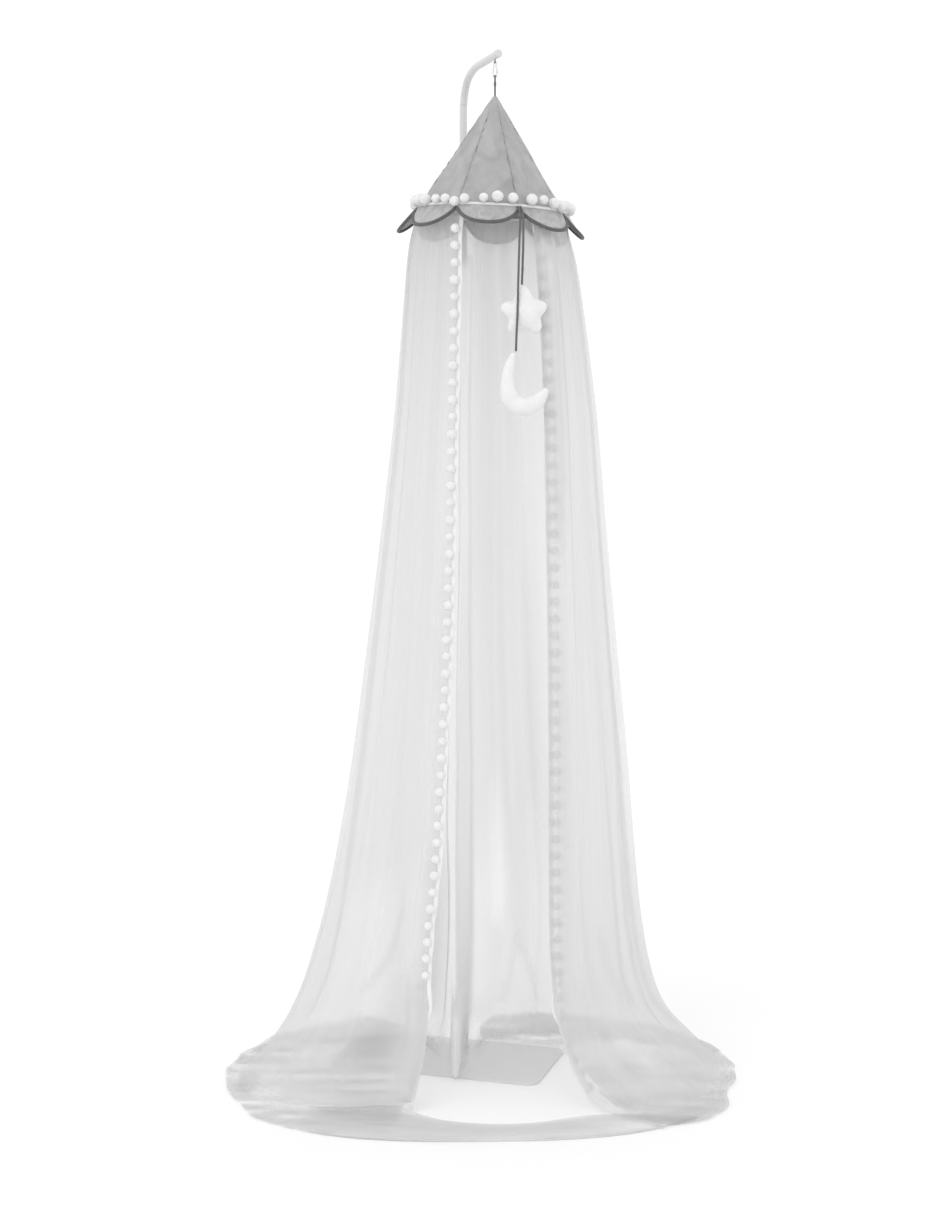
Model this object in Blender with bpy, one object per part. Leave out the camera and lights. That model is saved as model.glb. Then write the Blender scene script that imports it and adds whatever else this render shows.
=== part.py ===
"""Mosquito net canopy: a cloth roof, a sheer net open at the front, and the stand they hang from.

Metres, +Z up, the front opening toward -Y. The origin lies on the floor under the roof's peak.
"""

import math

import bmesh
import bpy
import numpy as np
from mathutils import Matrix, Vector

# Stand
PLATE_LENGTH = 0.400
PLATE_WIDTH = 0.210
PLATE_THICK = 0.005
PLATE_CORNER = 0.022
PLATE_CENTRE = (-0.0845, 0.1228)
PLATE_TURN = -17.3
POLE_XY = (-0.0556, 0.1754)
LOWER_TUBE_R = 0.0095
UPPER_TUBE_R = 0.0068
SOCKET_TOP = 0.087
TUBE_JOINT = 0.950
INSERT_DEPTH = 0.060
FIT = 0.0004
ARM_POINTS = (
    # (share of the way to the roof's axis, height)
    (0.000, 0.8900),
    (0.000, 1.7400),
    (0.012, 1.7700),
    (0.045, 1.7880),
    (0.100, 1.8020),
    (0.180, 1.8120),
    (0.280, 1.8180),
    (0.400, 1.8212),
    (0.560, 1.8215),
    (0.900, 1.8215),
    (1.000, 1.8215),
)
ARM_END = (0.0040, -0.0080)
BUTTON_R = 0.0030
BUTTON_Z = 0.068
BUTTON_AZIMUTH = 20.0
BUTTON_SUNK = 0.0022

# Hanging gear
EYE_Z = 1.8093
EYE_R = 0.0042
EYE_WIRE = 0.0012
LINK_TOP = 1.8078
LINK_BOTTOM = 1.7830
LINK_HALF = 0.0031
LINK_WIRE = 0.0012
LOOP_CORD_R = 0.0012

# Roof
PEAK_Z = 1.750
RING_CENTRE = (-0.006, 0.0)
RING_R = 0.131
RING_Z = 1.553
RING_SLOPE_X = -0.046
RING_SLOPE_Y = 0.030
GORES = 8
SEAM_START = -26.0
CLOTH_THICK = 0.0016
PEAK_HOLE = 0.0052
HOOP_R = 0.1252
HOOP_WIRE = 0.0024

# Valance
VALANCE_R = 0.1340
VALANCE_TOP = 0.0014
PIPING_R = 0.0021
FLAPS = (
    # (drop, flare) of each flap, from the one left of the front round by the right side
    (0.033, 0.024),
    (0.033, 0.026),
    (0.040, 0.030),
    (0.038, 0.028),
    (0.042, 0.026),
    (0.040, 0.028),
    (0.042, 0.030),
    (0.036, 0.027),
)

# Pompom trim round the roof's foot; azimuths in degrees from the front, to the right positive
RING_TAPE = ((0.1338, -0.0010), (0.1356, -0.0010), (0.1356, 0.0050), (0.1338, 0.0050))
POMPOM_R = 0.0100
POMPOM_OUT = 0.1405
POMPOM_RISE = 0.0088
RING_POMPOMS = (-66, -54, -36, -29, -22.5, -14.5, -3, 4, 12, 24, 32, 44, 52, 67, 83,
                101, 118, 134, 151, 168, 184, 201, 217, 234, 250, 268)

# Net: one row per level, radii to the left, right, front and back
NET_THICK = 0.0016
NET_FOLDS = 20
NET_LEVELS = (
    # height, the four radii, fold depth, share of the pool, height in the pleat, the two
    # front edges in degrees from the front, and how far those edges tuck in
    (1.5500, 0.1250, 0.1250, 0.1250, 0.1250, 0.0006, 0.0, 1.550, -27.5, 34.0, 0.00),
    (1.5150, 0.1380, 0.1340, 0.1320, 0.1320, 0.0030, 0.0, 1.515, -27.5, 34.0, 0.00),
    (1.4650, 0.1470, 0.1450, 0.1380, 0.1370, 0.0042, 0.0, 1.465, -27.5, 34.0, 0.00),
    (1.3600, 0.1570, 0.1580, 0.1480, 0.1440, 0.0050, 0.0, 1.360, -27.5, 33.5, 0.00),
    (1.1900, 0.1740, 0.1750, 0.1590, 0.1540, 0.0060, 0.0, 1.190, -27.5, 32.5, 0.00),
    (0.9900, 0.1970, 0.1910, 0.1700, 0.1640, 0.0075, 0.0, 0.990, -28.0, 31.5, 0.00),
    (0.7900, 0.2220, 0.2090, 0.1800, 0.1800, 0.0090, 0.0, 0.790, -28.5, 30.5, 0.00),
    (0.6000, 0.2480, 0.2270, 0.1880, 0.1960, 0.0105, 0.0, 0.600, -30.0, 29.5, 0.00),
    (0.4400, 0.2720, 0.2390, 0.1960, 0.2120, 0.0120, 0.0, 0.440, -32.0, 29.0, 0.02),
    (0.3200, 0.2960, 0.2500, 0.2030, 0.2160, 0.0130, 0.0, 0.325, -33.0, 29.0, 0.04),
    (0.2200, 0.3240, 0.2660, 0.2100, 0.2180, 0.0140, 0.0, 0.235, -33.5, 31.0, 0.09),
    (0.1450, 0.3520, 0.2900, 0.2160, 0.2200, 0.0140, 0.0, 0.165, -34.0, 34.0, 0.15),
    (0.0880, 0.3840, 0.3360, 0.2220, 0.2230, 0.0130, 0.0, 0.115, -34.0, 38.0, 0.19),
    (0.0450, 0.4180, 0.3820, 0.2270, 0.2280, 0.0110, 0.0, 0.077, -34.0, 42.5, 0.22),
    (0.0130, 0.4480, 0.4160, 0.2360, 0.2400, 0.0080, 0.0, 0.046, -34.0, 46.0, 0.23),
    (0.0008, 0.4640, 0.4320, 0.2500, 0.2640, 0.0060, 0.22, 0.030, -34.0, 47.0, 0.22),
    (0.0008, 0.4710, 0.4380, 0.2680, 0.3040, 0.0060, 0.48, 0.023, -34.0, 47.6, 0.19),
    (0.0008, 0.4780, 0.4440, 0.2900, 0.3500, 0.0060, 0.74, 0.017, -34.0, 48.0, 0.13),
    (0.0008, 0.4850, 0.4500, 0.3140, 0.3960, 0.0060, 1.00, 0.011, -34.0, 48.5, 0.05),
)
PLEAT_U = 0.470
PLEAT_HALF = 0.062
PLEAT_BACK = 0.240
PLEAT_TIPS = (
    # (height, x, y) of the pleat's inner line in front of the pole
    (1.600, -0.0420, 0.1250),
    (1.300, -0.0480, 0.1340),
    (1.000, -0.0560, 0.1300),
    (0.800, -0.0640, 0.1180),
    (0.600, -0.0700, 0.1000),
    (0.400, -0.0730, 0.0800),
    (0.200, -0.0730, 0.0460),
    (0.000, -0.0710, 0.0040),
)
FLAP_U = 0.080
FLAP_REACH = 79.0
FLAP_INNER = 0.236
FLOOR_LIFT = 0.0086

# Trims on the front edges
TAPE_HALF = 0.0034
TAPE_THICK = 0.0028
TAPE_GAP = 0.0014
TAPE_OUT = 0.0020
TRIM_POMPOM_R = 0.0083
TRIM_SPACING = 0.0287
TRIM_TOP = 0.056
TRIM_FOOT = (0.765, 0.745)
TRIM_TURN_Z = 0.56

# Ornaments
STAR_TIPS = ((0.0430, 1.4150), (0.0870, 1.3840), (0.0715, 1.3360), (0.0255, 1.3340), (0.0070, 1.3800))
STAR_CENTRE = (0.0470, 1.3680)
STAR_WAIST = 0.47
STAR_Y = -0.1580
STAR_HALF = 0.0115
MOON_POINTS = (
    # (x, z, half width) along the crescent, from its top horn to its right horn
    (0.0330, 1.3020, 0.0036),
    (0.0275, 1.2880, 0.0078),
    (0.0230, 1.2700, 0.0112),
    (0.0235, 1.2500, 0.0138),
    (0.0320, 1.2320, 0.0155),
    (0.0460, 1.2180, 0.0160),
    (0.0620, 1.2160, 0.0140),
    (0.0760, 1.2245, 0.0108),
    (0.0850, 1.2370, 0.0072),
    (0.0880, 1.2450, 0.0040),
)
MOON_Y = -0.1735
CORD_R = 0.0020
STAR_CORD = ((0.0410, -0.1300, 1.5466), (0.0413, -0.1306, 1.5451), (0.0436, -0.1372, 1.5400),
             (0.0452, -0.1425, 1.5320), (0.0457, -0.1460, 1.5180), (0.0455, -0.1500, 1.4900),
             (0.0445, -0.1545, 1.4500), (0.0430, STAR_Y, 1.4147))
MOON_CORD = ((0.0368, -0.1314, 1.5466), (0.0371, -0.1320, 1.5451), (0.0389, -0.1380, 1.5400),
             (0.0405, -0.1425, 1.5320), (0.0405, -0.1465, 1.5180), (0.0390, -0.1530, 1.4900),
             (0.0372, -0.1660, 1.4350), (0.0355, -0.1750, 1.3700), (0.0340, -0.1765, 1.3350),
             (0.0330, MOON_Y, 1.3035))


def clear_scene():
    """Removes every object that the file starts with."""
    for item in list(bpy.data.objects):
        bpy.data.objects.remove(item, do_unlink=True)


def material(name, colour, roughness, metallic=0.0):
    """One plain Principled material."""
    made = bpy.data.materials.new(name)
    made.use_nodes = True
    shader = made.node_tree.nodes["Principled BSDF"]
    shader.inputs["Base Color"].default_value = (*colour, 1.0)
    shader.inputs["Roughness"].default_value = roughness
    shader.inputs["Metallic"].default_value = metallic
    made.diffuse_color = (*colour, 1.0)
    return made


def smooth_faces(mesh, angle=40.0):
    """Smooth shading, with sharp edges where faces meet at more than the angle."""
    mesh.polygons.foreach_set("use_smooth", [True] * len(mesh.polygons))
    mesh.set_sharp_from_angle(angle=math.radians(angle))


def mesh_object(name, points, faces, mat):
    """An object from points and faces, with its normals turned outward."""
    mesh = bpy.data.meshes.new(name)
    mesh.from_pydata([tuple(p) for p in points], [], faces)
    work = bmesh.new()
    work.from_mesh(mesh)
    bmesh.ops.recalc_face_normals(work, faces=work.faces)
    work.to_mesh(mesh)
    work.free()
    mesh.materials.append(mat)
    made = bpy.data.objects.new(name, mesh)
    bpy.context.collection.objects.link(made)
    smooth_faces(mesh)
    return made


def apply_boolean(target, tool, operation):
    """An exact Boolean of the tool on the target, applied, with the tool removed."""
    step = target.modifiers.new("cut", "BOOLEAN")
    step.solver = "EXACT"
    step.operation = operation
    step.object = tool
    tool.hide_render = True
    tool.display_type = "WIRE"
    bpy.ops.object.select_all(action="DESELECT")
    bpy.context.view_layer.objects.active = target
    target.select_set(True)
    bpy.ops.object.modifier_apply(modifier=step.name)
    bpy.data.objects.remove(tool, do_unlink=True)


def cylinder_object(name, radius, low, high, xy, mat, sides=20):
    """An upright cylinder between two heights."""
    ring = [(math.cos(2 * math.pi * k / sides), math.sin(2 * math.pi * k / sides)) for k in range(sides)]
    points = [(xy[0] + radius * c, xy[1] + radius * s, z) for z in (low, high) for c, s in ring]
    faces = [(k, (k + 1) % sides, sides + (k + 1) % sides, sides + k) for k in range(sides)]
    faces.append(tuple(reversed(range(sides))))
    faces.append(tuple(range(sides, 2 * sides)))
    return mesh_object(name, points, faces, mat)


def curve_sample(rows, place):
    """A smooth value through the rows at a place from 0 to 1: Catmull-Rom on every column."""
    table = np.asarray(rows, float)
    last = len(table) - 1
    at = min(max(place, 0.0), 1.0) * last
    k = min(int(at), last - 1)
    f = at - k
    p1 = table[k]
    p2 = table[k + 1]
    p0 = table[k - 1] if k > 0 else 2 * p1 - p2
    p3 = table[k + 2] if k + 2 <= last else 2 * p2 - p1
    return 0.5 * (2 * p1 + (p2 - p0) * f + (2 * p0 - 5 * p1 + 4 * p2 - p3) * f * f
                  + (3 * p1 - p0 - 3 * p2 + p3) * f ** 3)


def height_lookup(rows, z):
    """Plain interpolation of a table whose first column is a falling height."""
    for upper, lower in zip(rows, rows[1:]):
        if z >= lower[0]:
            f = min(max((upper[0] - z) / (upper[0] - lower[0]), 0.0), 1.0)
            return np.asarray(upper[1:]) * (1 - f) + np.asarray(lower[1:]) * f
    return np.asarray(rows[-1][1:], float)


def frames_along(path):
    """Tangent, side and up vectors along a path, carried without twist."""
    path = [Vector(p) for p in path]
    tangents = []
    for k in range(len(path)):
        ahead = path[min(k + 1, len(path) - 1)]
        behind = path[max(k - 1, 0)]
        tangents.append((ahead - behind).normalized())
    side = tangents[0].orthogonal().normalized()
    frames = []
    for k, tangent in enumerate(tangents):
        side = (side - tangent * side.dot(tangent)).normalized()
        frames.append((path[k], tangent, side, tangent.cross(side)))
    return frames


def tube_object(name, path, radii, mat, sides=12, closed=False, squash=1.0):
    """A tube through the points, with a radius at each."""
    frames = frames_along(path)
    points = []
    for (centre, _, side, up), radius in zip(frames, radii):
        for k in range(sides):
            turn = 2 * math.pi * (k + 0.5) / sides
            points.append(centre + side * (radius * math.cos(turn)) + up * (radius * squash * math.sin(turn)))
    rows = len(path)
    faces = []
    for i in range(rows if closed else rows - 1):
        for k in range(sides):
            a = i * sides + k
            b = i * sides + (k + 1) % sides
            n = (i + 1) % rows
            faces.append((a, b, n * sides + (k + 1) % sides, n * sides + k))
    if not closed:
        faces.append(tuple(range(sides)))
        faces.append(tuple(range((rows - 1) * sides, rows * sides)))
    return mesh_object(name, points, faces, mat)


def ring_object(name, centre, radius, wire, mat, axis="Y", around=24, sides=8, stretch=0.0):
    """A closed wire ring, or a long link when it is stretched along Z."""
    points = []
    for i in range(around):
        turn = 2 * math.pi * (i + 0.5) / around
        a = math.cos(turn)
        b = math.sin(turn)
        shift = stretch if b > 0 else -stretch
        for k in range(sides):
            tip = 2 * math.pi * k / sides
            reach = radius + wire * math.cos(tip)
            across = wire * math.sin(tip)
            if axis == "Y":
                point = (reach * a, across, reach * b + shift)
            elif axis == "X":
                point = (across, reach * a, reach * b + shift)
            else:
                point = (reach * a, reach * b, across)
            points.append(Vector(centre) + Vector(point))
    faces = []
    for i in range(around):
        for k in range(sides):
            n = (i + 1) % around
            faces.append((i * sides + k, i * sides + (k + 1) % sides,
                          n * sides + (k + 1) % sides, n * sides + k))
    return mesh_object(name, points, faces, mat)


def ring_height(x, y):
    """Height of the tilted ring plane at a place."""
    return RING_Z + RING_SLOPE_X * (x - RING_CENTRE[0]) + RING_SLOPE_Y * y


def ring_point(azimuth, radius, rise=0.0):
    """A point round the roof: azimuth in degrees from the front, to the right positive."""
    turn = math.radians(azimuth)
    x = RING_CENTRE[0] + radius * math.sin(turn)
    y = RING_CENTRE[1] - radius * math.cos(turn)
    return Vector((x, y, ring_height(x, y) + rise))


# The stand


def make_base_plate(mat):
    """Flat steel plate with rounded corners, turned a little against the front."""
    corners = []
    for sx, sy, start in ((1, 1, 0), (-1, 1, 90), (-1, -1, 180), (1, -1, 270)):
        for k in range(6):
            turn = math.radians(start + 90 * k / 5)
            corners.append(Vector((sx * (PLATE_LENGTH / 2 - PLATE_CORNER) + PLATE_CORNER * math.cos(turn),
                                   sy * (PLATE_WIDTH / 2 - PLATE_CORNER) + PLATE_CORNER * math.sin(turn),
                                   0.0)))
    place = Matrix.Translation((*PLATE_CENTRE, 0.0)) @ Matrix.Rotation(math.radians(PLATE_TURN), 4, "Z")
    edge = 0.0008
    rows = ((0.0, 1.0), (PLATE_THICK - edge, 1.0), (PLATE_THICK, 1.0 - edge / 0.1))
    points = []
    for z, scale in rows:
        for corner in corners:
            points.append(place @ Vector((corner.x * scale, corner.y * scale, z)))
    count = len(corners)
    faces = [tuple(reversed(range(count))), tuple(range(2 * count, 3 * count))]
    for row in range(2):
        for k in range(count):
            n = (k + 1) % count
            faces.append((row * count + k, row * count + n, (row + 1) * count + n, (row + 1) * count + k))
    return mesh_object("base_plate", points, faces, mat)


def button_line():
    """The point on the pole's axis behind the catch button, and the way the button faces."""
    turn = math.radians(BUTTON_AZIMUTH)
    return Vector((*POLE_XY, BUTTON_Z)), Vector((math.sin(turn), -math.cos(turn), 0.0))


def make_pole_socket(mat):
    """Short tube on the plate that carries the pole, with a pocket for the catch button."""
    socket = cylinder_object("pole_socket", LOWER_TUBE_R, PLATE_THICK + FIT, SOCKET_TOP, POLE_XY, mat)
    foot, way = button_line()
    path = [foot + way * (LOWER_TUBE_R - BUTTON_SUNK), foot + way * (LOWER_TUBE_R + 0.0060)]
    tool = tube_object("button_pocket", path, [BUTTON_R + FIT] * 2, mat, sides=12)
    apply_boolean(socket, tool, "DIFFERENCE")
    return socket


def make_catch_button(mat):
    """Round spring catch button that shows in the socket's wall."""
    foot, way = button_line()
    out = LOWER_TUBE_R - BUTTON_SUNK + FIT
    path = [foot + way * (out + step) for step in (0.0, 0.0022, 0.0032, 0.0036)]
    return tube_object("catch_button", path, [BUTTON_R, BUTTON_R, BUTTON_R * 0.75, BUTTON_R * 0.3], mat)


def make_lower_pole(mat):
    """Lower tube, bored at its top for the upper tube."""
    pole = cylinder_object("lower_pole", LOWER_TUBE_R, SOCKET_TOP + FIT, TUBE_JOINT, POLE_XY, mat)
    bore = cylinder_object("bore", UPPER_TUBE_R + FIT, TUBE_JOINT - INSERT_DEPTH, TUBE_JOINT + 0.02,
                           POLE_XY, mat)
    apply_boolean(pole, bore, "DIFFERENCE")
    return pole


def arm_path(count=20):
    """The upper tube's centre line: straight up, then bent over to the roof's axis."""
    rows = []
    for share, z in ARM_POINTS:
        rows.append((POLE_XY[0] + (ARM_END[0] - POLE_XY[0]) * share,
                     POLE_XY[1] + (ARM_END[1] - POLE_XY[1]) * share, z))
    rows[0] = (rows[0][0], rows[0][1], TUBE_JOINT - INSERT_DEPTH + FIT)
    path = [Vector(rows[0]), Vector(rows[1])]
    bend = rows[1:]
    for k in range(1, count):
        path.append(Vector(curve_sample(bend, k / (count - 1))))
    return path


def make_upper_pole(mat):
    """Upper tube with its bent arm."""
    path = arm_path()
    return tube_object("upper_pole", path, [UPPER_TUBE_R] * len(path), mat, sides=12)


def make_end_cap(mat):
    """Round cap that closes the arm's end."""
    path = arm_path()
    way = (path[-1] - path[-2]).normalized()
    steps = ((FIT, 1.0), (0.0040, 1.0), (0.0056, 0.86), (0.0066, 0.5))
    return tube_object("end_cap", [path[-1] + way * s for s, _ in steps],
                       [UPPER_TUBE_R * 1.06 * r for _, r in steps], mat, sides=14)


def make_arm_eye(mat):
    """Small eye under the arm."""
    return ring_object("arm_eye", (0.0, 0.0, EYE_Z), EYE_R, EYE_WIRE, mat, axis="X", around=14, sides=6)


def make_snap_link(mat):
    """Slim closed link between the eye and the cord loop."""
    middle = (LINK_TOP + LINK_BOTTOM) / 2
    stretch = (LINK_TOP - LINK_BOTTOM) / 2 - LINK_HALF
    return ring_object("snap_link", (0.0, 0.0, middle), LINK_HALF, LINK_WIRE, mat, axis="Y",
                       around=16, sides=6, stretch=stretch)


def make_hanging_loop(mat):
    """Dark cord loop that comes out of the peak and passes through the link."""
    reach = LINK_WIRE + LOOP_CORD_R + 0.0004
    rows = ((0.0, -0.0019, 1.7440), (0.0, -0.0019, 1.7540), (0.0, -0.0026, 1.7660),
            (0.0, -reach, LINK_BOTTOM - 0.0012), (0.0, -reach * 0.72, LINK_BOTTOM + reach * 0.78),
            (0.0, 0.0, LINK_BOTTOM + reach * 1.08), (0.0, reach * 0.72, LINK_BOTTOM + reach * 0.78),
            (0.0, reach, LINK_BOTTOM - 0.0012), (0.0, 0.0026, 1.7660), (0.0, 0.0019, 1.7540),
            (0.0, 0.0019, 1.7440))
    return cord_object("hanging_loop", rows, LOOP_CORD_R, mat, 23)


def cord_object(name, rows, radius, mat, count):
    """A round cord: a poly curve through a smooth line, with its bevel and filled caps."""
    curve = bpy.data.curves.new(name, "CURVE")
    curve.dimensions = "3D"
    curve.bevel_depth = radius
    curve.bevel_resolution = 2
    curve.use_fill_caps = True
    line = curve.splines.new("POLY")
    line.points.add(count - 1)
    for k in range(count):
        x, y, z = curve_sample(rows, k / (count - 1))
        line.points[k].co = (x, y, z, 1.0)
    curve.materials.append(mat)
    made = bpy.data.objects.new(name, curve)
    bpy.context.collection.objects.link(made)
    return made


# The roof


def roof_point(azimuth, share, inset):
    """A point on the roof: share 0 at the peak, 1 at the ring, inset square to the cloth."""
    foot = ring_point(azimuth, RING_R + 0.0014)
    turn = math.radians(azimuth)
    top = Vector((PEAK_HOLE * math.sin(turn), -PEAK_HOLE * math.cos(turn), PEAK_Z))
    point = top.lerp(foot, share)
    slant = (foot - top).normalized()
    around = Vector((math.cos(turn), math.sin(turn), 0.0))
    return point - around.cross(slant).normalized() * -inset


def make_gore(index, mat):
    """One roof gore between two seams, a little flat across its middle."""
    start = SEAM_START + 360.0 / GORES * index
    shares = (0.0, 0.14, 0.42, 0.72, 1.0)
    columns = 4
    points = []
    for inset in (0.0, CLOTH_THICK):
        for share in shares:
            edge = FIT * 0.6 / (PEAK_HOLE + (RING_R - PEAK_HOLE) * share)
            gap = math.degrees(edge)
            for k in range(columns + 1):
                across = k / columns
                azimuth = start + gap + (360.0 / GORES - 2 * gap) * across
                sag = 0.0034 * share * math.sin(math.pi * across) * math.sin(math.pi * min(share * 0.9, 0.9))
                points.append(roof_point(azimuth, share, inset + sag))
    width = columns + 1
    rows = len(shares)
    return mesh_object(f"roof_gore_{index + 1}", points, shell_faces(rows, width), mat)


def shell_faces(rows, width):
    """Faces of a sheet of two grids, one after the other, closed round its rim."""
    size = rows * width
    faces = []
    for i in range(rows - 1):
        for k in range(width - 1):
            a = i * width + k
            faces.append((a, a + 1, a + width + 1, a + width))
            faces.append((size + a, size + a + width, size + a + width + 1, size + a + 1))
    for k in range(width - 1):
        faces.append((k, size + k, size + k + 1, k + 1))
        a = (rows - 1) * width + k
        faces.append((a, a + 1, size + a + 1, size + a))
    for i in range(rows - 1):
        a = i * width
        faces.append((a, a + width, size + a + width, size + a))
        a = i * width + width - 1
        faces.append((a, size + a, size + a + width, a + width))
    return faces


def make_hoop(mat):
    """Plain wire hoop that holds the roof's lower edge round."""
    around = 28
    path = [ring_point(360.0 * k / around, HOOP_R) for k in range(around)]
    points = []
    sides = 6
    for k, centre in enumerate(path):
        turn = math.radians(360.0 * k / around)
        out = Vector((math.sin(turn), -math.cos(turn), 0.0))
        for j in range(sides):
            tip = 2 * math.pi * (j + 0.5) / sides
            points.append(centre + out * (HOOP_WIRE * math.cos(tip)) + Vector((0, 0, HOOP_WIRE * math.sin(tip))))
    faces = []
    for i in range(around):
        for j in range(sides):
            n = (i + 1) % around
            faces.append((i * sides + j, i * sides + (j + 1) % sides,
                          n * sides + (j + 1) % sides, n * sides + j))
    return mesh_object("roof_hoop", points, faces, mat)


def flap_depth(across):
    """How far down the flap's curved edge reaches at a place across it, 0 to 1."""
    away = abs(2 * across - 1)
    return (1 - away ** 2.4) ** 0.72


def flap_point(index, across, down, out):
    """A point on a valance flap: down 0 at its seam, 1 at its curved edge."""
    drop, flare = FLAPS[index]
    start = SEAM_START - 360.0 / GORES + 360.0 / GORES * index
    margin = 1.1
    azimuth = start + margin + (360.0 / GORES - 2 * margin) * across
    depth = flap_depth(across) * down
    return ring_point(azimuth, VALANCE_R + flare * depth ** 1.15 + out, -VALANCE_TOP - drop * depth)


def make_flap(index, mat):
    """One scalloped valance flap, flaring outward to its curved edge."""
    columns = 10
    stations = [0.5 - 0.5 * math.cos(math.pi * (0.055 + 0.89 * k / columns)) for k in range(columns + 1)]
    downs = (0.0, 0.5, 1.0)
    points = []
    for out in (0.0, CLOTH_THICK):
        for down in downs:
            for across in stations:
                points.append(flap_point(index, across, down, out))
    return mesh_object(f"valance_flap_{index + 1}", points, shell_faces(len(downs), columns + 1), mat)


def make_piping(index, mat):
    """Dark piping along a flap's curved edge."""
    count = 12
    path = []
    for k in range(count):
        across = 0.5 - 0.5 * math.cos(math.pi * (0.100 + 0.80 * k / (count - 1)))
        point = flap_point(index, across, 1.0, CLOTH_THICK / 2)
        seam = flap_point(index, across, 0.0, CLOTH_THICK / 2)
        way = (point - seam).normalized()
        middle = flap_point(index, 0.5, 0.3, CLOTH_THICK / 2)
        spread = (point - middle).normalized()
        path.append(point + (way * 0.55 + spread * 0.45).normalized() * (PIPING_R + 0.0008))
    return tube_object(f"valance_piping_{index + 1}", path, [PIPING_R] * count, mat, sides=6)


def pompom_balls(name, centres, radius, mat):
    """All pompoms of one trim as one mesh of separate balls."""
    bpy.ops.mesh.primitive_ico_sphere_add(subdivisions=1, radius=1.0)
    seed = bpy.context.object
    shape = [v.co.copy() for v in seed.data.vertices]
    loops = [tuple(p.vertices) for p in seed.data.polygons]
    bpy.data.objects.remove(seed, do_unlink=True)
    points = []
    faces = []
    for index, centre in enumerate(centres):
        base = len(points)
        turn = Matrix.Rotation(index * 1.7, 3, "Z") @ Matrix.Rotation(index * 0.9, 3, "X")
        points.extend(Vector(centre) + turn @ corner * radius for corner in shape)
        faces.extend(tuple(base + k for k in loop) for loop in loops)
    return mesh_object(name, points, faces, mat)


def rooted_pompoms(name, feet, centres, radius, mat):
    """Pompoms of one trim, each drawn out to its root in the tape, as one mesh of separate bodies."""
    points = []
    faces = []
    for foot, centre in zip(feet, centres):
        base = len(points)
        foot = Vector(foot)
        centre = Vector(centre)
        way = (centre - foot).normalized()
        side = way.orthogonal().normalized()
        up = way.cross(side)
        points.append(foot)
        for step, shift in ((-0.447, 0.0), (0.447, 0.5)):
            for k in range(5):
                turn = 2 * math.pi * (k + shift) / 5
                points.append(centre + (way * step + (side * math.cos(turn) + up * math.sin(turn)) * 0.894) * radius)
        points.append(centre + way * radius)
        for k in range(5):
            n = (k + 1) % 5
            faces.append((base, base + 1 + n, base + 1 + k))
            faces.append((base + 1 + k, base + 1 + n, base + 6 + k))
            faces.append((base + 1 + n, base + 6 + n, base + 6 + k))
            faces.append((base + 6 + k, base + 6 + n, base + 11))
    return mesh_object(name, points, faces, mat)


def make_ring_trim(mat):
    """Pompom trim round the foot of the roof: a narrow tape with its pompoms."""
    around = 32
    points = []
    for k in range(around):
        for radius, rise in RING_TAPE:
            points.append(ring_point(360.0 * k / around, radius, rise))
    faces = []
    for i in range(around):
        for j in range(4):
            n = (i + 1) % around
            faces.append((i * 4 + j, i * 4 + (j + 1) % 4, n * 4 + (j + 1) % 4, n * 4 + j))
    tape = mesh_object("ring_pompom_trim", points, faces, mat)
    centres = []
    for index, azimuth in enumerate(RING_POMPOMS):
        rise = POMPOM_RISE + 0.0012 * math.sin(index * 2.1)
        centres.append(ring_point(azimuth, POMPOM_OUT, rise))
    balls = pompom_balls("ring_pompoms", centres, POMPOM_R, mat)
    apply_boolean(tape, balls, "UNION")
    smooth_faces(tape.data)
    return tape


# The net


def over_plate(x, y, margin):
    """How far a place lies over the base plate: 1 inside, falling to 0 at the margin."""
    turn = math.radians(-PLATE_TURN)
    dx = x - PLATE_CENTRE[0]
    dy = y - PLATE_CENTRE[1]
    along = abs(dx * math.cos(turn) - dy * math.sin(turn)) - PLATE_LENGTH / 2
    across = abs(dx * math.sin(turn) + dy * math.cos(turn)) - PLATE_WIDTH / 2
    away = max(along, across)
    share = min(max(1.0 - (away - 0.016) / margin, 0.0), 1.0)
    return share * share * (3 - 2 * share)


def pleat_share(u):
    """How much of the pleat round the pole a place along the cloth takes, 0 to 1."""
    away = abs(u - PLEAT_U) / PLEAT_HALF
    if away >= 1.25:
        return 0.0
    sharp = 1.0 - math.sqrt(away * away + 0.012) + 0.10
    value = min(max(sharp, 0.0), 1.0)
    return value * value * (1.6 - 0.6 * value) if value < 0.35 else value - 0.10 * (1 - value)


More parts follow.
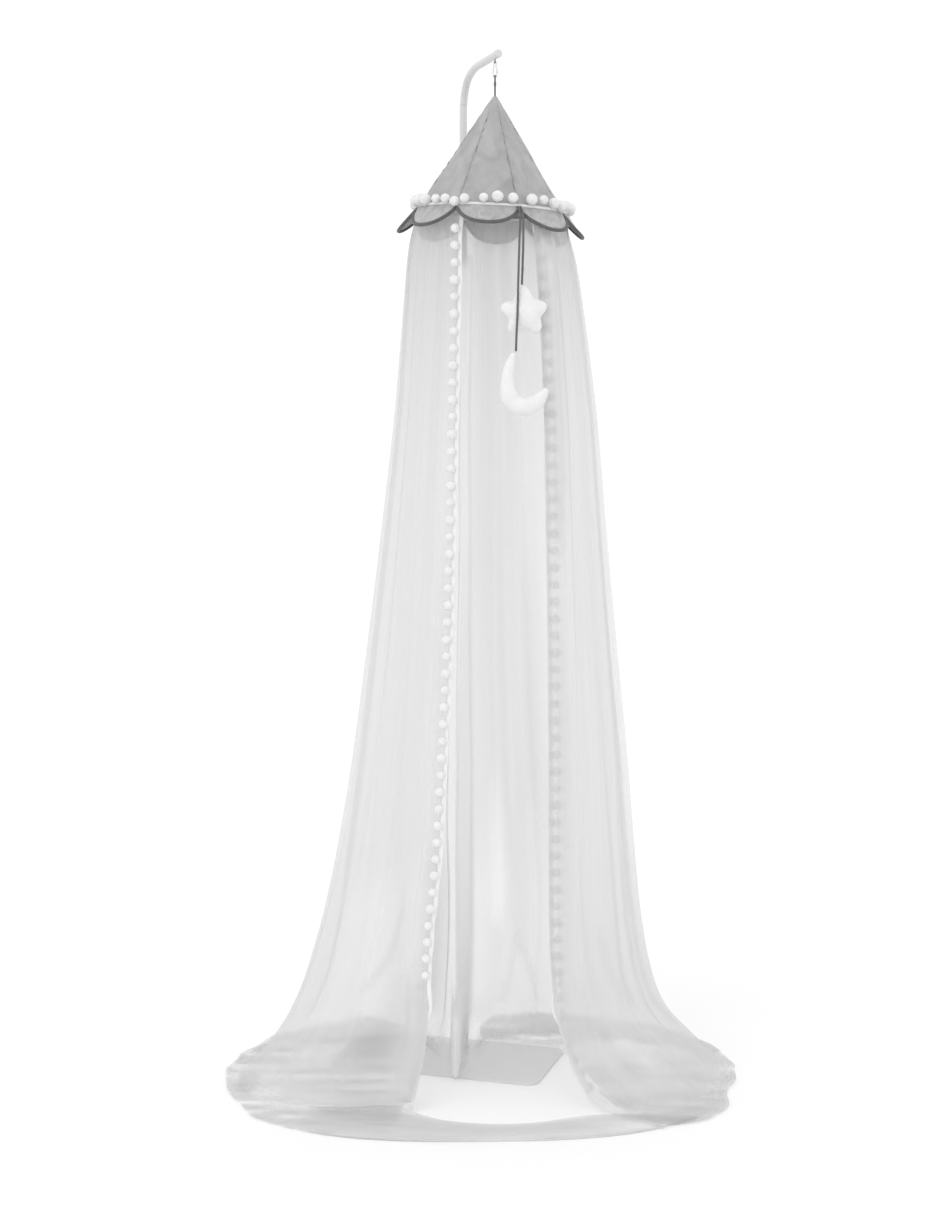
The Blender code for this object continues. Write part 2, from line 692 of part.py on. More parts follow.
def net_base(u, row):
    """The net's line at one level before its pleat: x and y, with its folds."""
    _, left, right, front, back, fold, pool, _, edge_1, edge_2, tuck = row
    warp = u + 0.0050 * math.sin(2 * math.pi * 5 * u + 0.6) * math.sin(math.pi * u)
    warp += 0.0035 * math.sin(2 * math.pi * 9 * u + 2.0) * math.sin(math.pi * u)
    azimuth = edge_1 + (edge_2 - 360.0 - edge_1) * warp
    flap = 0.0
    if u < FLAP_U and pool > 0.0:
        near = 1.0 - u / FLAP_U
        flap = near
        azimuth += FLAP_REACH * near ** 1.4 * pool ** 0.9
    turn = math.radians(azimuth)
    s = math.sin(turn)
    c = math.cos(turn)
    power = 2.0 + 0.45 * min(max((0.16 - row[0]) / 0.16, 0.0), 1.0)
    wide = right if s > 0 else left
    deep = front if c > 0 else back
    shift = RING_CENTRE[0] * min(max((row[0] - 1.2) / 0.3, 0.0), 1.0)
    radius = (abs(s / wide) ** power + abs(c / deep) ** power) ** (-1.0 / power)
    near_edge = math.exp(-(u / 0.050) ** 2) + math.exp(-((1.0 - u) / 0.060) ** 2)
    radius *= 1.0 - tuck * near_edge
    x = s * radius
    y = -c * radius
    if flap > 0.0:
        outer = math.hypot(x, y)
        share = pool ** (1.0 + 5.0 * flap) * (1.0 - 0.30 * flap ** 3)
        reach = outer + (FLAP_INNER + (outer - FLAP_INNER) * share - outer) * flap ** 0.6
        x *= reach / outer
        y *= reach / outer
    calm = min(u, 1.0 - u) / 0.030
    wave = math.sin(2 * math.pi * NET_FOLDS * u) * min(calm, 1.0) ** 1.5
    uneven = 0.62 + 0.26 * math.sin(2 * math.pi * 4 * u + 1.0) + 0.22 * math.sin(2 * math.pi * 7 * u + 2.4)
    out = fold * wave * uneven * (1.0 - 0.8 * flap) * (1.0 - 0.5 * pleat_share(u))
    size = math.hypot(s / wide, c / deep)
    return np.array([x + shift + out * s / wide / size, y - out * c / deep / size]), wave * uneven


def net_point(u, t):
    """A point on the net's middle surface: u along the hem, t from the hoop down to the hem."""
    row = curve_sample(NET_LEVELS, t)
    share = pleat_share(u)
    kept = row.copy()
    kept[4] = min(kept[4], PLEAT_BACK)
    row = row + (kept - row) * min(share * 1.6, 1.0) ** 0.7
    place, wave = net_base(u, row)
    z = max(row[0], NET_THICK / 2)
    if row[0] < 0.06 and u > FLAP_U:
        near = min((0.06 - row[0]) / 0.05, 1.0)
        end = 1.0 - 0.6 * row[6]
        z += 0.012 * near * end * max(wave, 0.0) ** 1.5 * min((u - FLAP_U) / 0.05, (1 - u) / 0.04, 1.0)
    if share > 0.0:
        middle, _ = net_base(PLEAT_U, kept)
        high = row[7]
        tip = height_lookup(PLEAT_TIPS, high)
        start = min(max((1.50 - high) / 0.25, 0.0), 1.0)
        place = place + (tip - middle) * share * start
        z = z + (high - z) * min(share * 1.4, 1.0)
    top = ring_height(*place) - RING_Z
    z += top * min(max((z - 0.9) / 0.6, 0.0), 1.0)
    if z < 0.03:
        lift = FLOOR_LIFT * over_plate(place[0], place[1], 0.030)
        z = max(z, NET_THICK / 2 + lift)
    return np.array([place[0], place[1], z])


def net_normal(u, t):
    """The outward normal of the net's middle surface."""
    du = 0.0022
    dt = 0.012
    side = net_point(min(u + du, 1.0), t) - net_point(max(u - du, 0.0), t)
    down = net_point(u, min(t + dt, 1.0)) - net_point(u, max(t - dt, 0.0))
    normal = np.cross(down, side)
    size = np.linalg.norm(normal)
    return normal / size if size > 0 else np.array([0.0, 0.0, 1.0])


def make_net(mat):
    """The sheer net: gathered on the hoop, open at the front, lying on the floor at its hem."""
    columns = NET_FOLDS * 4
    rows = len(NET_LEVELS) - 1
    outer = []
    inner = []
    for i in range(rows + 1):
        for k in range(columns + 1):
            u = k / columns
            t = i / rows
            middle = net_point(u, t)
            normal = net_normal(u, t) * (NET_THICK / 2)
            high = middle + normal
            low = middle - normal
            low[2] = max(low[2], 0.0)
            high[2] = max(high[2], 0.0)
            if high[2] < NET_THICK and abs(high[2] - low[2]) < NET_THICK * 0.8:
                high[2] = low[2] + NET_THICK
            outer.append(high)
            inner.append(low)
    return mesh_object("net", outer + inner, shell_faces(rows + 1, columns + 1), mat)


def edge_frame(edge, t):
    """The net's front edge at t: its point, the way out of the cloth and the outward normal."""
    u = 0.0 if edge == 1 else 1.0
    inside = 0.006 if edge == 1 else 0.994
    point = net_point(u, t)
    away = point - net_point(inside, t)
    down = net_point(u, min(t + 0.01, 1.0)) - net_point(u, max(t - 0.01, 0.0))
    down /= np.linalg.norm(down)
    away -= down * np.dot(away, down)
    away /= np.linalg.norm(away)
    normal = np.cross(away, down)
    if normal[0] * point[0] + normal[1] * point[1] + 0.1 * normal[2] < 0.0:
        normal = -normal
    return point, away, normal


def edge_stations(edge, low, high, spacing):
    """Places along a front edge at an even spacing, as values of t."""
    count = 400
    ts = [low + (high - low) * k / count for k in range(count + 1)]
    spots = [net_point(0.0 if edge == 1 else 1.0, t) for t in ts]
    run = [0.0]
    for a, b in zip(spots, spots[1:]):
        run.append(run[-1] + float(np.linalg.norm(b - a)))
    total = run[-1]
    wanted = max(int(round(total / spacing)), 2)
    return [float(np.interp(total * k / wanted, run, ts)) for k in range(wanted + 1)]


def make_edge_trim(edge, mat):
    """Tape with its pompoms along one front edge of the net."""
    low = TRIM_TOP
    high = TRIM_FOOT[edge - 1]
    ts = edge_stations(edge, low, high, 0.064)
    points = []
    for t in ts:
        point, away, normal = edge_frame(edge, t)
        for side, out in ((0, -0.5), (1, -0.5), (1, 0.5), (0, 0.5)):
            points.append(point + away * (TAPE_GAP + 2 * TAPE_HALF * side)
                          + normal * (TAPE_OUT + TAPE_THICK * out))
    faces = [(0, 1, 2, 3)]
    for i in range(len(ts) - 1):
        for j in range(4):
            faces.append((i * 4 + j, i * 4 + (j + 1) % 4, (i + 1) * 4 + (j + 1) % 4, (i + 1) * 4 + j))
    last = (len(ts) - 1) * 4
    faces.append((last, last + 3, last + 2, last + 1))
    tape = mesh_object(f"edge_trim_{edge}", points, faces, mat)
    centres = []
    feet = []
    stations = edge_stations(edge, low + 0.006, high - 0.004, TRIM_SPACING)
    for t in stations:
        point, away, normal = edge_frame(edge, t)
        middle = point + away * (TAPE_GAP + TAPE_HALF) + normal * TAPE_OUT
        feet.append(middle)
        if edge == 2 and point[2] < TRIM_TURN_Z:
            centres.append(middle + away * 0.0098 + normal * 0.0020)
        else:
            centres.append(middle - away * 0.0096 + normal * 0.0086)
    balls = rooted_pompoms(f"edge_pompoms_{edge}", feet, centres, TRIM_POMPOM_R, mat)
    apply_boolean(tape, balls, "UNION")
    smooth_faces(tape.data)
    return tape


# The ornaments


def make_star(mat):
    """Stuffed five-pointed star."""
    centre = Vector((STAR_CENTRE[0], 0.0, STAR_CENTRE[1]))
    outline = []
    tips = [Vector((x, 0.0, z)) for x, z in STAR_TIPS]
    for k, tip in enumerate(tips):
        follow = tips[(k + 1) % 5]
        inner = centre + ((tip + follow) / 2 - centre) * (STAR_WAIST * 1.22)
        spread = (follow - tip).normalized()
        short = centre + (tip - centre) * 0.93
        side = spread * 0.0042
        back = (tip - tips[k - 1]).normalized() * -0.0042
        outline.extend((short + back, tip - (tip - centre) * 0.02, short + side, inner))
    count = len(outline)
    points = []
    for share, deep in ((1.0, 0.0022), (0.86, 0.0062), (0.48, 0.0105)):
        for sign in (1, -1):
            points.extend(Vector((0, STAR_Y - sign * deep, 0)) + centre + (p - centre) * share for p in outline)
    points.append(Vector((centre.x, STAR_Y - STAR_HALF, centre.z)))
    points.append(Vector((centre.x, STAR_Y + STAR_HALF, centre.z)))
    faces = []
    for k in range(count):
        n = (k + 1) % count
        for sign in (0, 1):
            for ring in (0, 1):
                a = (2 * ring + sign) * count
                b = (2 * ring + 2 + sign) * count
                faces.append((a + k, a + n, b + n, b + k))
            inner_row = (4 + sign) * count
            faces.append((inner_row + k, inner_row + n, 6 * count + sign))
        faces.append((k, n, count + n, count + k))
    return mesh_object("star", points, faces, mat)


def make_moon(mat):
    """Stuffed crescent moon."""
    count = 14
    path = []
    radii = []
    for k in range(count):
        x, z, half = curve_sample(MOON_POINTS, k / (count - 1))
        path.append((x, MOON_Y, z))
        radii.append(half)
    frames = []
    for k, (x, y, z) in enumerate(path):
        ahead = Vector(path[min(k + 1, count - 1)])
        behind = Vector(path[max(k - 1, 0)])
        way = (ahead - behind).normalized()
        frames.append((Vector((x, y, z)), way.cross(Vector((0, 1, 0))).normalized()))
    sides = 8
    points = []
    for (centre, across), half in zip(frames, radii):
        deep = min(half * 0.9, 0.0120)
        for j in range(sides):
            turn = 2 * math.pi * j / sides
            points.append(centre + across * (half * math.cos(turn)) + Vector((0, deep * math.sin(turn), 0)))
    faces = []
    for i in range(count - 1):
        for j in range(sides):
            faces.append((i * sides + j, i * sides + (j + 1) % sides,
                          (i + 1) * sides + (j + 1) % sides, (i + 1) * sides + j))
    faces.append(tuple(range(sides)))
    faces.append(tuple(range((count - 1) * sides, count * sides)))
    return mesh_object("moon", points, faces, mat)


def main():
    """Builds every piece."""
    clear_scene()
    steel = material("stand_paint", (0.83, 0.83, 0.84), 0.35)
    plate = material("plate_paint", (0.62, 0.62, 0.62), 0.45)
    clear = material("link_plastic", (0.86, 0.87, 0.88), 0.25)
    dark = material("dark_cord", (0.12, 0.12, 0.12), 0.85)
    cloth = material("roof_cloth", (0.40, 0.40, 0.40), 0.9)
    binding = material("binding", (0.11, 0.11, 0.11), 0.85)
    fluff = material("pompom_wool", (0.93, 0.93, 0.92), 0.95)
    sheer = material("net_cloth", (0.88, 0.88, 0.88), 0.9)
    plush = material("plush", (0.92, 0.92, 0.91), 0.95)
    make_base_plate(plate)
    make_pole_socket(steel)
    make_catch_button(clear)
    make_lower_pole(steel)
    make_upper_pole(steel)
    make_end_cap(steel)
    make_arm_eye(steel)
    make_snap_link(clear)
    make_hanging_loop(dark)
    for index in range(GORES):
        make_gore(index, cloth)
    make_hoop(steel)
    for index in range(GORES):
        make_flap(index, cloth)
        make_piping(index, binding)
    make_ring_trim(fluff)
    make_net(sheer)
    make_edge_trim(1, fluff)
    make_edge_trim(2, fluff)
    cord_object("star_cord", STAR_CORD, CORD_R, dark, 14)
    cord_object("moon_cord", MOON_CORD, CORD_R, dark, 26)
    make_star(plush)
    make_moon(plush)


main()
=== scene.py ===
"""Mosquito net canopy on a stand: its looks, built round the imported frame.

Metres, +Z up, the open front toward -Y, the origin on the floor under the roof's peak.
"""

import sys

import logging
import math
from dataclasses import dataclass, field
from enum import Enum
from typing import Optional, Sequence, Union

import bmesh
import bpy
import numpy as np
from mathutils import Matrix, Vector


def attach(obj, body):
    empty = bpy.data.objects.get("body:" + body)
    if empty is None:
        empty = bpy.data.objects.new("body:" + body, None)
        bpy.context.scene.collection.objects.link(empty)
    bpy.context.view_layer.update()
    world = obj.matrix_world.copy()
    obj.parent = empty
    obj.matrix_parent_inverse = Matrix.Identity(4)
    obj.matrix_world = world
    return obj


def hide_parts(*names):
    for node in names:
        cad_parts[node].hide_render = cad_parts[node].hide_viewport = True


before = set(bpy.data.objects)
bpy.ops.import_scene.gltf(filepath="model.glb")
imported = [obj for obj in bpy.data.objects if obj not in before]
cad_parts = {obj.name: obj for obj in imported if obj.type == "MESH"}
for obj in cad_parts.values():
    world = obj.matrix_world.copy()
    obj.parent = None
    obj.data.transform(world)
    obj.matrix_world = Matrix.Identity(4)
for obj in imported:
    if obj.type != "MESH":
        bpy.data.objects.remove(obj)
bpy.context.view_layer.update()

LOG = logging.getLogger("net_canopy")
Socket = bpy.types.NodeSocket
Thing = bpy.types.Object


class Edge(Enum):
    """The net's two front edges, named as they are seen from the front."""

    LEFT = 1
    RIGHT = 2


class Held(Enum):
    """How a sheet of cloth is held."""

    GATHERED = "gathered"
    STRETCHED = "stretched"
    HUNG = "hung"


# Small helpers for curves, meshes and pieces


def curve_through(rows: Sequence, place: float) -> np.ndarray:
    """Reads a smooth value through a table's rows.

    Args:
        rows: The table, one row per station.
        place: From 0 at the first row to 1 at the last.

    Returns:
        One value for each of the table's columns.
    """
    table = np.asarray(rows, float)
    last = len(table) - 1
    at = clipped(place) * last
    k = min(int(at), last - 1)
    f = at - k
    p1, p2 = table[k], table[k + 1]
    p0 = table[k - 1] if k > 0 else 2 * p1 - p2
    p3 = table[k + 2] if k + 2 <= last else 2 * p2 - p1
    return 0.5 * (2 * p1 + (p2 - p0) * f + (2 * p0 - 5 * p1 + 4 * p2 - p3) * f * f
                  + (3 * p1 - p0 - 3 * p2 + p3) * f ** 3)


def eased(value: Union[float, np.ndarray]) -> Union[float, np.ndarray]:
    """Clips to 0..1 and eases both ends."""
    value = np.clip(value, 0.0, 1.0)
    return value * value * (3 - 2 * value)


def clipped(value: float) -> float:
    """Clips one number to 0..1."""
    return min(max(value, 0.0), 1.0)


def bell(value: object, middle: float, half: object, power: int = 2) -> np.ndarray:
    """A smooth bump: 1 in its middle, fading past its half width."""
    return np.exp(-((value - middle) / half) ** power)


def unit(ways: np.ndarray) -> np.ndarray:
    """Scales each row to a length of 1."""
    return ways / np.linalg.norm(ways, axis=-1, keepdims=True)


def sampled(rows: Sequence, count: int) -> np.ndarray:
    """Reads the smooth curve through a table's rows at evenly spaced places."""
    return np.array([curve_through(rows, k / (count - 1)) for k in range(count)])


def run_along(points: np.ndarray) -> np.ndarray:
    """How far each row of points lies from the first one, step by step."""
    steps = np.linalg.norm(np.diff(points, axis=0), axis=-1)
    return np.concatenate([np.zeros_like(steps[:1]), np.cumsum(steps, axis=0)])


def clear_selection() -> None:
    """Deselects everything, so that an operator acts only on what is picked next."""
    if bpy.context.object and bpy.context.object.mode != "OBJECT":
        bpy.ops.object.mode_set(mode="OBJECT")
    for item in bpy.context.selected_objects:
        item.select_set(False)


def pick(piece: Thing) -> Thing:
    """Makes a piece the only selected and the active one, and returns it."""
    clear_selection()
    piece.select_set(True)
    bpy.context.view_layer.objects.active = piece
    return piece


def apply_modifier(piece: Thing, kind: str, **settings: object) -> Thing:
    """Adds a modifier and applies it.

    Args:
        piece: The piece to change.
        kind: The modifier's type, such as BEVEL.
        **settings: The modifier's own values.

    Returns:
        The same piece.
    """
    step = piece.modifiers.new(kind.lower(), kind)
    for key, value in settings.items():
        setattr(step, key, value)
    pick(piece)
    bpy.ops.object.modifier_apply(modifier=step.name)
    return piece


def settle(piece: Thing, name: str, smooth_angle: Optional[float] = 40.0) -> Thing:
    """Names a new primitive, puts its place into its mesh and shades it smooth.

    Args:
        piece: The piece, as its operator left it.
        name: Its name in the model.
        smooth_angle: Edges sharper than this many degrees stay sharp; None leaves it flat.

    Returns:
        The same piece.
    """
    piece.name = piece.data.name = name
    pick(piece)
    bpy.ops.object.transform_apply(location=True, rotation=True, scale=True)
    if smooth_angle is not None:
        bpy.ops.object.shade_smooth_by_angle(angle=math.radians(smooth_angle))
    return piece


def primitive(add: object, name: str, smooth_angle: Optional[float], **settings: object) -> Thing:
    """Adds a primitive and settles it.

    Args:
        add: The operator that adds it.
        name: Its name in the model.
        smooth_angle: As settle() takes it.
        **settings: The operator's own values.

    Returns:
        The new piece.
    """
    clear_selection()
    add(**settings)
    return settle(bpy.context.object, name, smooth_angle)


def choose(piece: Thing, kind: str, keep: object) -> None:
    """Goes into edit mode with only the edges or the faces picked that the test accepts.

    Args:
        piece: The piece to edit.
        kind: EDGE or FACE.
        keep: Takes an edge's two end points, or a face's middle and its normal, and answers True to pick it.
    """
    pick(piece)
    bpy.ops.object.mode_set(mode="EDIT")
    bpy.ops.mesh.select_mode(type=kind)
    bpy.ops.mesh.select_all(action="DESELECT")
    work = bmesh.from_edit_mesh(piece.data)
    if kind == "EDGE":
        for edge in work.edges:
            edge.select_set(bool(keep(edge.verts[0].co, edge.verts[1].co)))
    else:
        for face in work.faces:
            face.select_set(bool(keep(face.calc_center_median(), face.normal)))
    work.select_flush_mode()
    bmesh.update_edit_mesh(piece.data)


def round_edges(piece: Thing, keep: object, offset: float, segments: int) -> None:
    """Bevels the edges whose two end points pass the test."""
    choose(piece, "EDGE", keep)
    bpy.ops.mesh.bevel(offset=offset, segments=segments, affect="EDGES")
    bpy.ops.object.mode_set(mode="OBJECT")


def mesh_piece(name: str, points: np.ndarray, faces: Sequence, smooth: bool = True) -> Thing:
    """Makes a piece from points and faces.

    Args:
        name: Its name in the model.
        points: One row of three numbers per point.
        faces: Tuples of point numbers.
        smooth: Whether it is shaded smooth.

    Returns:
        The new piece.
    """
    mesh = bpy.data.meshes.new(name)
    mesh.from_pydata(np.asarray(points, float).reshape(-1, 3).tolist(), [], faces)
    mesh.polygons.foreach_set("use_smooth", [smooth] * len(mesh.polygons))
    piece = bpy.data.objects.new(name, mesh)
    bpy.context.collection.objects.link(piece)
    return piece


def lay_uv(piece: Thing, spots: np.ndarray) -> None:
    """Lays a UV map called cloth, in metres, from one pair of numbers per point."""
    mesh = piece.data
    corners = np.empty(len(mesh.loops), dtype=np.int32)
    mesh.loops.foreach_get("vertex_index", corners)
    layer = mesh.uv_layers.new(name="cloth")
    layer.data.foreach_set("uv", np.asarray(spots, np.float32).reshape(-1, 2)[corners].ravel())


def lay_value(piece: Thing, name: str, values: np.ndarray) -> None:
    """Stores one number per point under a name that the finishes read."""
    store = piece.data.attributes.new(name, "FLOAT", "POINT")
    store.data.foreach_set("value", np.asarray(values, np.float32).ravel())


def grid_piece(name: str, points: np.ndarray, spots: np.ndarray, flip: bool = False) -> Thing:
    """Makes an open sheet from a grid of points.

    Args:
        name: Its name in the model.
        points: Rows by columns by three.
        spots: Rows by columns by two, the place on the flat cloth in metres.
        flip: Turns the faces round.

    Returns:
        The new piece, with its UV map.
    """
    rows, columns = points.shape[:2]
    first = (np.arange(rows - 1)[:, None] * columns + np.arange(columns - 1)[None, :]).ravel()
    faces = np.stack([first, first + 1, first + columns + 1, first + columns], axis=1)
    if flip:
        faces = faces[:, ::-1]
    piece = mesh_piece(name, points, faces.tolist())
    lay_uv(piece, spots)
    return piece


def tube_piece(name: str, path: np.ndarray, radius: object, sides: int, closed: bool = False) -> Thing:
    """Makes a round tube along a path, with its ends filled.

    Args:
        name: Its name in the model.
        path: The ring centres, one row each.
        radius: A number, or a function of the run in metres and the turns round it.
        sides: How many points each ring has.
        closed: Whether the last ring joins the first.

    Returns:
        The new piece, with a UV map of the way round and the run along it.
    """
    path = np.asarray(path, float)
    count = len(path)
    ahead = np.roll(path, -1, axis=0) if closed else np.vstack([path[1:], path[-1:]])
    behind = np.roll(path, 1, axis=0) if closed else np.vstack([path[:1], path[:-1]])
    ways = unit(ahead - behind)
    side = Vector(ways[0]).orthogonal().normalized()
    run = run_along(path)
    turns = np.arange(sides) / sides
    angles = 2 * math.pi * turns
    points = np.empty((count, sides, 3))
    for k in range(count):
        way = Vector(ways[k])
        side = (side - way * side.dot(way)).normalized()
        up = np.array(way.cross(side))
        reach = radius(run[k], turns) if callable(radius) else np.full(sides, radius)
        ring = np.cos(angles)[:, None] * np.array(side) + np.sin(angles)[:, None] * up
        points[k] = path[k] + ring * reach[:, None]
    faces = []
    for i in range(count if closed else count - 1):
        j = (i + 1) % count
        for k in range(sides):
            n = (k + 1) % sides
            faces.append((i * sides + k, i * sides + n, j * sides + n, j * sides + k))
    if not closed:
        faces.append(tuple(reversed(range(sides))))
        faces.append(tuple(range((count - 1) * sides, count * sides)))
    piece = mesh_piece(name, points, faces)
    girth = 2 * math.pi * (float(np.mean(radius(0.0, turns))) if callable(radius) else radius)
    spots = np.stack(np.broadcast_arrays(turns[None, :] * girth, run[:, None]), axis=-1)
    lay_uv(piece, spots)
    return piece


def join_pieces(name: str, pieces: Sequence[Thing]) -> Thing:
    """Joins pieces into one and returns it under the name."""
    pick(pieces[0])
    for piece in pieces[1:]:
        piece.select_set(True)
    bpy.ops.object.join()
    joined = bpy.context.object
    joined.name = joined.data.name = name
    return joined


def finish_piece(piece: Thing, finish: "Finish", nodes: Sequence[str] = ()) -> Thing:
    """Dresses a piece, lets it ride on the stand's one body and hides the CAD nodes that it stands for.

    Args:
        piece: The finished mesh.
        finish: What its surface is.
        nodes: The CAD nodes that it stands for.

    Returns:
        The same piece.
    """
    piece.data.materials.clear()
    piece.data.materials.append(finish.material())
    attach(piece, "root")
    if nodes:
        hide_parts(*nodes)
    LOG.info("%s: %d faces, %s", piece.name, len(piece.data.polygons), finish.name)
    return piece


class SoftNoise:
    """Smooth, seeded unevenness over a plane, from -1 to 1, that repeats after a while."""

    def __init__(self, seed: int, size: int = 128) -> None:
        """Draws the values at the plane's whole numbers."""
        self.size = size
        self.values = np.random.default_rng(seed).uniform(-1.0, 1.0, (size, size))

    def at(self, x: np.ndarray, y: Union[float, np.ndarray]) -> np.ndarray:
        """Reads the unevenness at places given in cells."""
        x, y = np.broadcast_arrays(np.asarray(x, float), np.asarray(y, float))
        i, j = np.floor(x).astype(int), np.floor(y).astype(int)
        fx, fy = x - i, y - j
        fx, fy = (f * f * f * (f * (f * 6 - 15) + 10) for f in (fx, fy))
        v = self.values
        i0, i1, j0, j1 = i % self.size, (i + 1) % self.size, j % self.size, (j + 1) % self.size
        low = v[i0, j0] * (1 - fx) + v[i1, j0] * fx
        high = v[i0, j1] * (1 - fx) + v[i1, j1] * fx
        return low * (1 - fy) + high * fy


# Finishes


class Graph:
    """Adds and wires nodes in one node tree."""

    def __init__(self, tree: bpy.types.NodeTree) -> None:
        """Keeps the tree."""
        self.tree = tree

    def node(self, kind: str, **settings: object) -> bpy.types.Node:
        """Adds a node and sets its own options."""
        made = self.tree.nodes.new(kind)
        for key, value in settings.items():
            setattr(made, key, value)
        return made

    def feed(self, socket: Socket, value: object) -> None:
        """Wires a socket into another, or writes a plain value on it."""
        if isinstance(value, bpy.types.NodeSocket):
            self.tree.links.new(value, socket)
        else:
            socket.default_value = value

    def wire(self, node: bpy.types.Node, **values: object) -> None:
        """Feeds a node's inputs by their names, with _ for a space."""
        for name, value in values.items():
            self.feed(node.inputs[name.replace("_", " ")], value)

    def stored(self, name: str) -> Socket:
        """A number stored on the mesh's points."""
        return self.node("ShaderNodeAttribute", attribute_name=name).outputs["Fac"]

    def math(self, operation: str, *values: object) -> Socket:
        """Adds a Math node and returns its output."""
        made = self.node("ShaderNodeMath", operation=operation)
        for socket, value in zip(made.inputs, values):
            self.feed(socket, value)
        return made.outputs[0]

    def stretched(self, vector: Socket, scale: Sequence[float]) -> Socket:
        """Multiplies a vector by three numbers."""
        made = self.node("ShaderNodeVectorMath", operation="MULTIPLY")
        self.feed(made.inputs[0], vector)
        self.feed(made.inputs[1], tuple(scale))
        return made.outputs[0]

    def noise(self, vector: Socket, scale: float, detail: float = 2.0, distortion: float = 0.0) -> Socket:
        """Adds a Noise Texture and returns its value."""
        made = self.node("ShaderNodeTexNoise")
        self.wire(made, Vector=vector, Scale=scale, Detail=detail, Distortion=distortion)
        return made.outputs[0]

    def span(self, value: Socket, low: float, high: float, to_low: float, to_high: float) -> Socket:
        """Maps one range onto another and clips it there."""
        made = self.node("ShaderNodeMapRange")
        for socket, number in zip(made.inputs, (value, low, high, to_low, to_high)):
            self.feed(socket, number)
        return made.outputs[0]

    def blend(self, factor: object, low: object, high: object) -> Socket:
        """Mixes two colours and returns the result."""
        made = self.node("ShaderNodeMix", data_type="RGBA")
        self.feed(made.inputs[0], factor)
        self.feed(made.inputs[6], low)
        self.feed(made.inputs[7], high)
        return made.outputs[2]

    def parts(self, vector: Socket) -> Sequence[Socket]:
        """Splits a vector into its three numbers."""
        made = self.node("ShaderNodeSeparateXYZ")
        self.feed(made.inputs[0], vector)
        return made.outputs

    def use(self, group: bpy.types.NodeTree, **values: object) -> bpy.types.Node:
        """Places a node group with its own values."""
        made = self.node("ShaderNodeGroup", node_tree=group)
        self.wire(made, **values)
        return made

    def layer(self, factor: object, under: Socket, over: Socket) -> Socket:
        """Mixes two shaders and returns the result."""
        made = self.node("ShaderNodeMixShader")
        for socket, value in zip(made.inputs, (factor, under, over)):
            self.feed(socket, value)
        return made.outputs[0]

    def bump(self, height: Socket, depth: float, strength: float = 1.0) -> Socket:
        """Adds a Bump node and returns its normal."""
        made = self.node("ShaderNodeBump")
        self.wire(made, Strength=strength, Distance=depth, Height=height)
        return made.outputs[0]


def new_group(name: str, takes: Sequence[tuple], gives: Sequence[str]) -> tuple:
    """Starts a shader node group with named sockets.

    Args:
        name: The group's name.
        takes: Pairs of an input's name and its plain value, or None for a vector.
        gives: The names of its value outputs.

    Returns:
        The group, its graph, and its input and output nodes.
    """
    group = bpy.data.node_groups.new(name, "ShaderNodeTree")
    for title, value in takes:
        kind = "NodeSocketVector" if value is None else "NodeSocketFloat"
        made = group.interface.new_socket(title, in_out="INPUT", socket_type=kind)
        if value is not None:
            made.default_value = value
    for title in gives:
        group.interface.new_socket(title, in_out="OUTPUT", socket_type="NodeSocketFloat")
    graph = Graph(group)
    return group, graph, graph.node("NodeGroupInput"), graph.node("NodeGroupOutput")


def weave_group() -> bpy.types.NodeTree:
    """Plain weave: its height and the open share between its threads, from a flat place in metres."""
    if found := bpy.data.node_groups.get("plain_weave"):
        return found
    group, g, into, out = new_group("plain_weave", (("Place", None), ("Pitch", 0.001)), ("Height", "Gap"))
    x, y, _ = g.parts(into.outputs["Place"])
    sin_x, sin_y = (g.math("SINE", g.math("MULTIPLY", g.math("DIVIDE", v, into.outputs["Pitch"]), math.pi))
                    for v in (x, y))
    warp, weft = g.math("ABSOLUTE", sin_x), g.math("ABSOLUTE", sin_y)
    over = g.math("MULTIPLY_ADD", g.math("MULTIPLY", sin_x, sin_y), 0.5, 0.5)
    under = g.math("SUBTRACT", 1.0, over)
    high = g.math("MAXIMUM", g.math("MULTIPLY", warp, over), g.math("MULTIPLY", weft, under))
    gap = g.math("MULTIPLY", g.math("SUBTRACT", 1.0, warp), g.math("SUBTRACT", 1.0, weft))
    g.wire(out, Height=high, Gap=gap)
    return group


def noise_group(name: str, size: str, rows: Sequence[tuple], distortion: float,
                half: float) -> bpy.types.NodeTree:
    """Noises that share one size, each spread over 0..1.

    Args:
        name: The group's name.
        size: The name of its size input, in metres.
        rows: For each output its name, how many times finer than the size it is, and its detail.
        distortion: Of every noise.
        half: How far below and above the middle the noise is spread over the whole range.

    Returns:
        The group, which is made the first time.
    """
    if found := bpy.data.node_groups.get(name):
        return found
    group, g, into, out = new_group(name, (("Place", None), (size, 0.01)), [row[0] for row in rows])
    for title, finer, detail in rows:
        scale = g.math("DIVIDE", finer, into.outputs[size])
        value = g.noise(into.outputs["Place"], scale, detail, distortion)
        g.feed(out.inputs[title], g.span(value, 0.5 - half, 0.5 + half, 0.0, 1.0))
    return group


def mottle_group() -> bpy.types.NodeTree:
    """Broad and fine unevenness of a surface, each from 0 to 1."""
    return noise_group("mottle", "Size", (("Broad", 1.0, 3.0), ("Fine", 1.0 / 0.14, 3.0)), 0.0, 0.25)


def fibre_group() -> bpy.types.NodeTree:
    """Fluffy yarn or pile: its height and its light and dark, from 0 to 1."""
    return noise_group("fibres", "Thread", (("Height", 1.0, 4.0), ("Tone", 0.4, 2.0)), 0.6, 0.2)


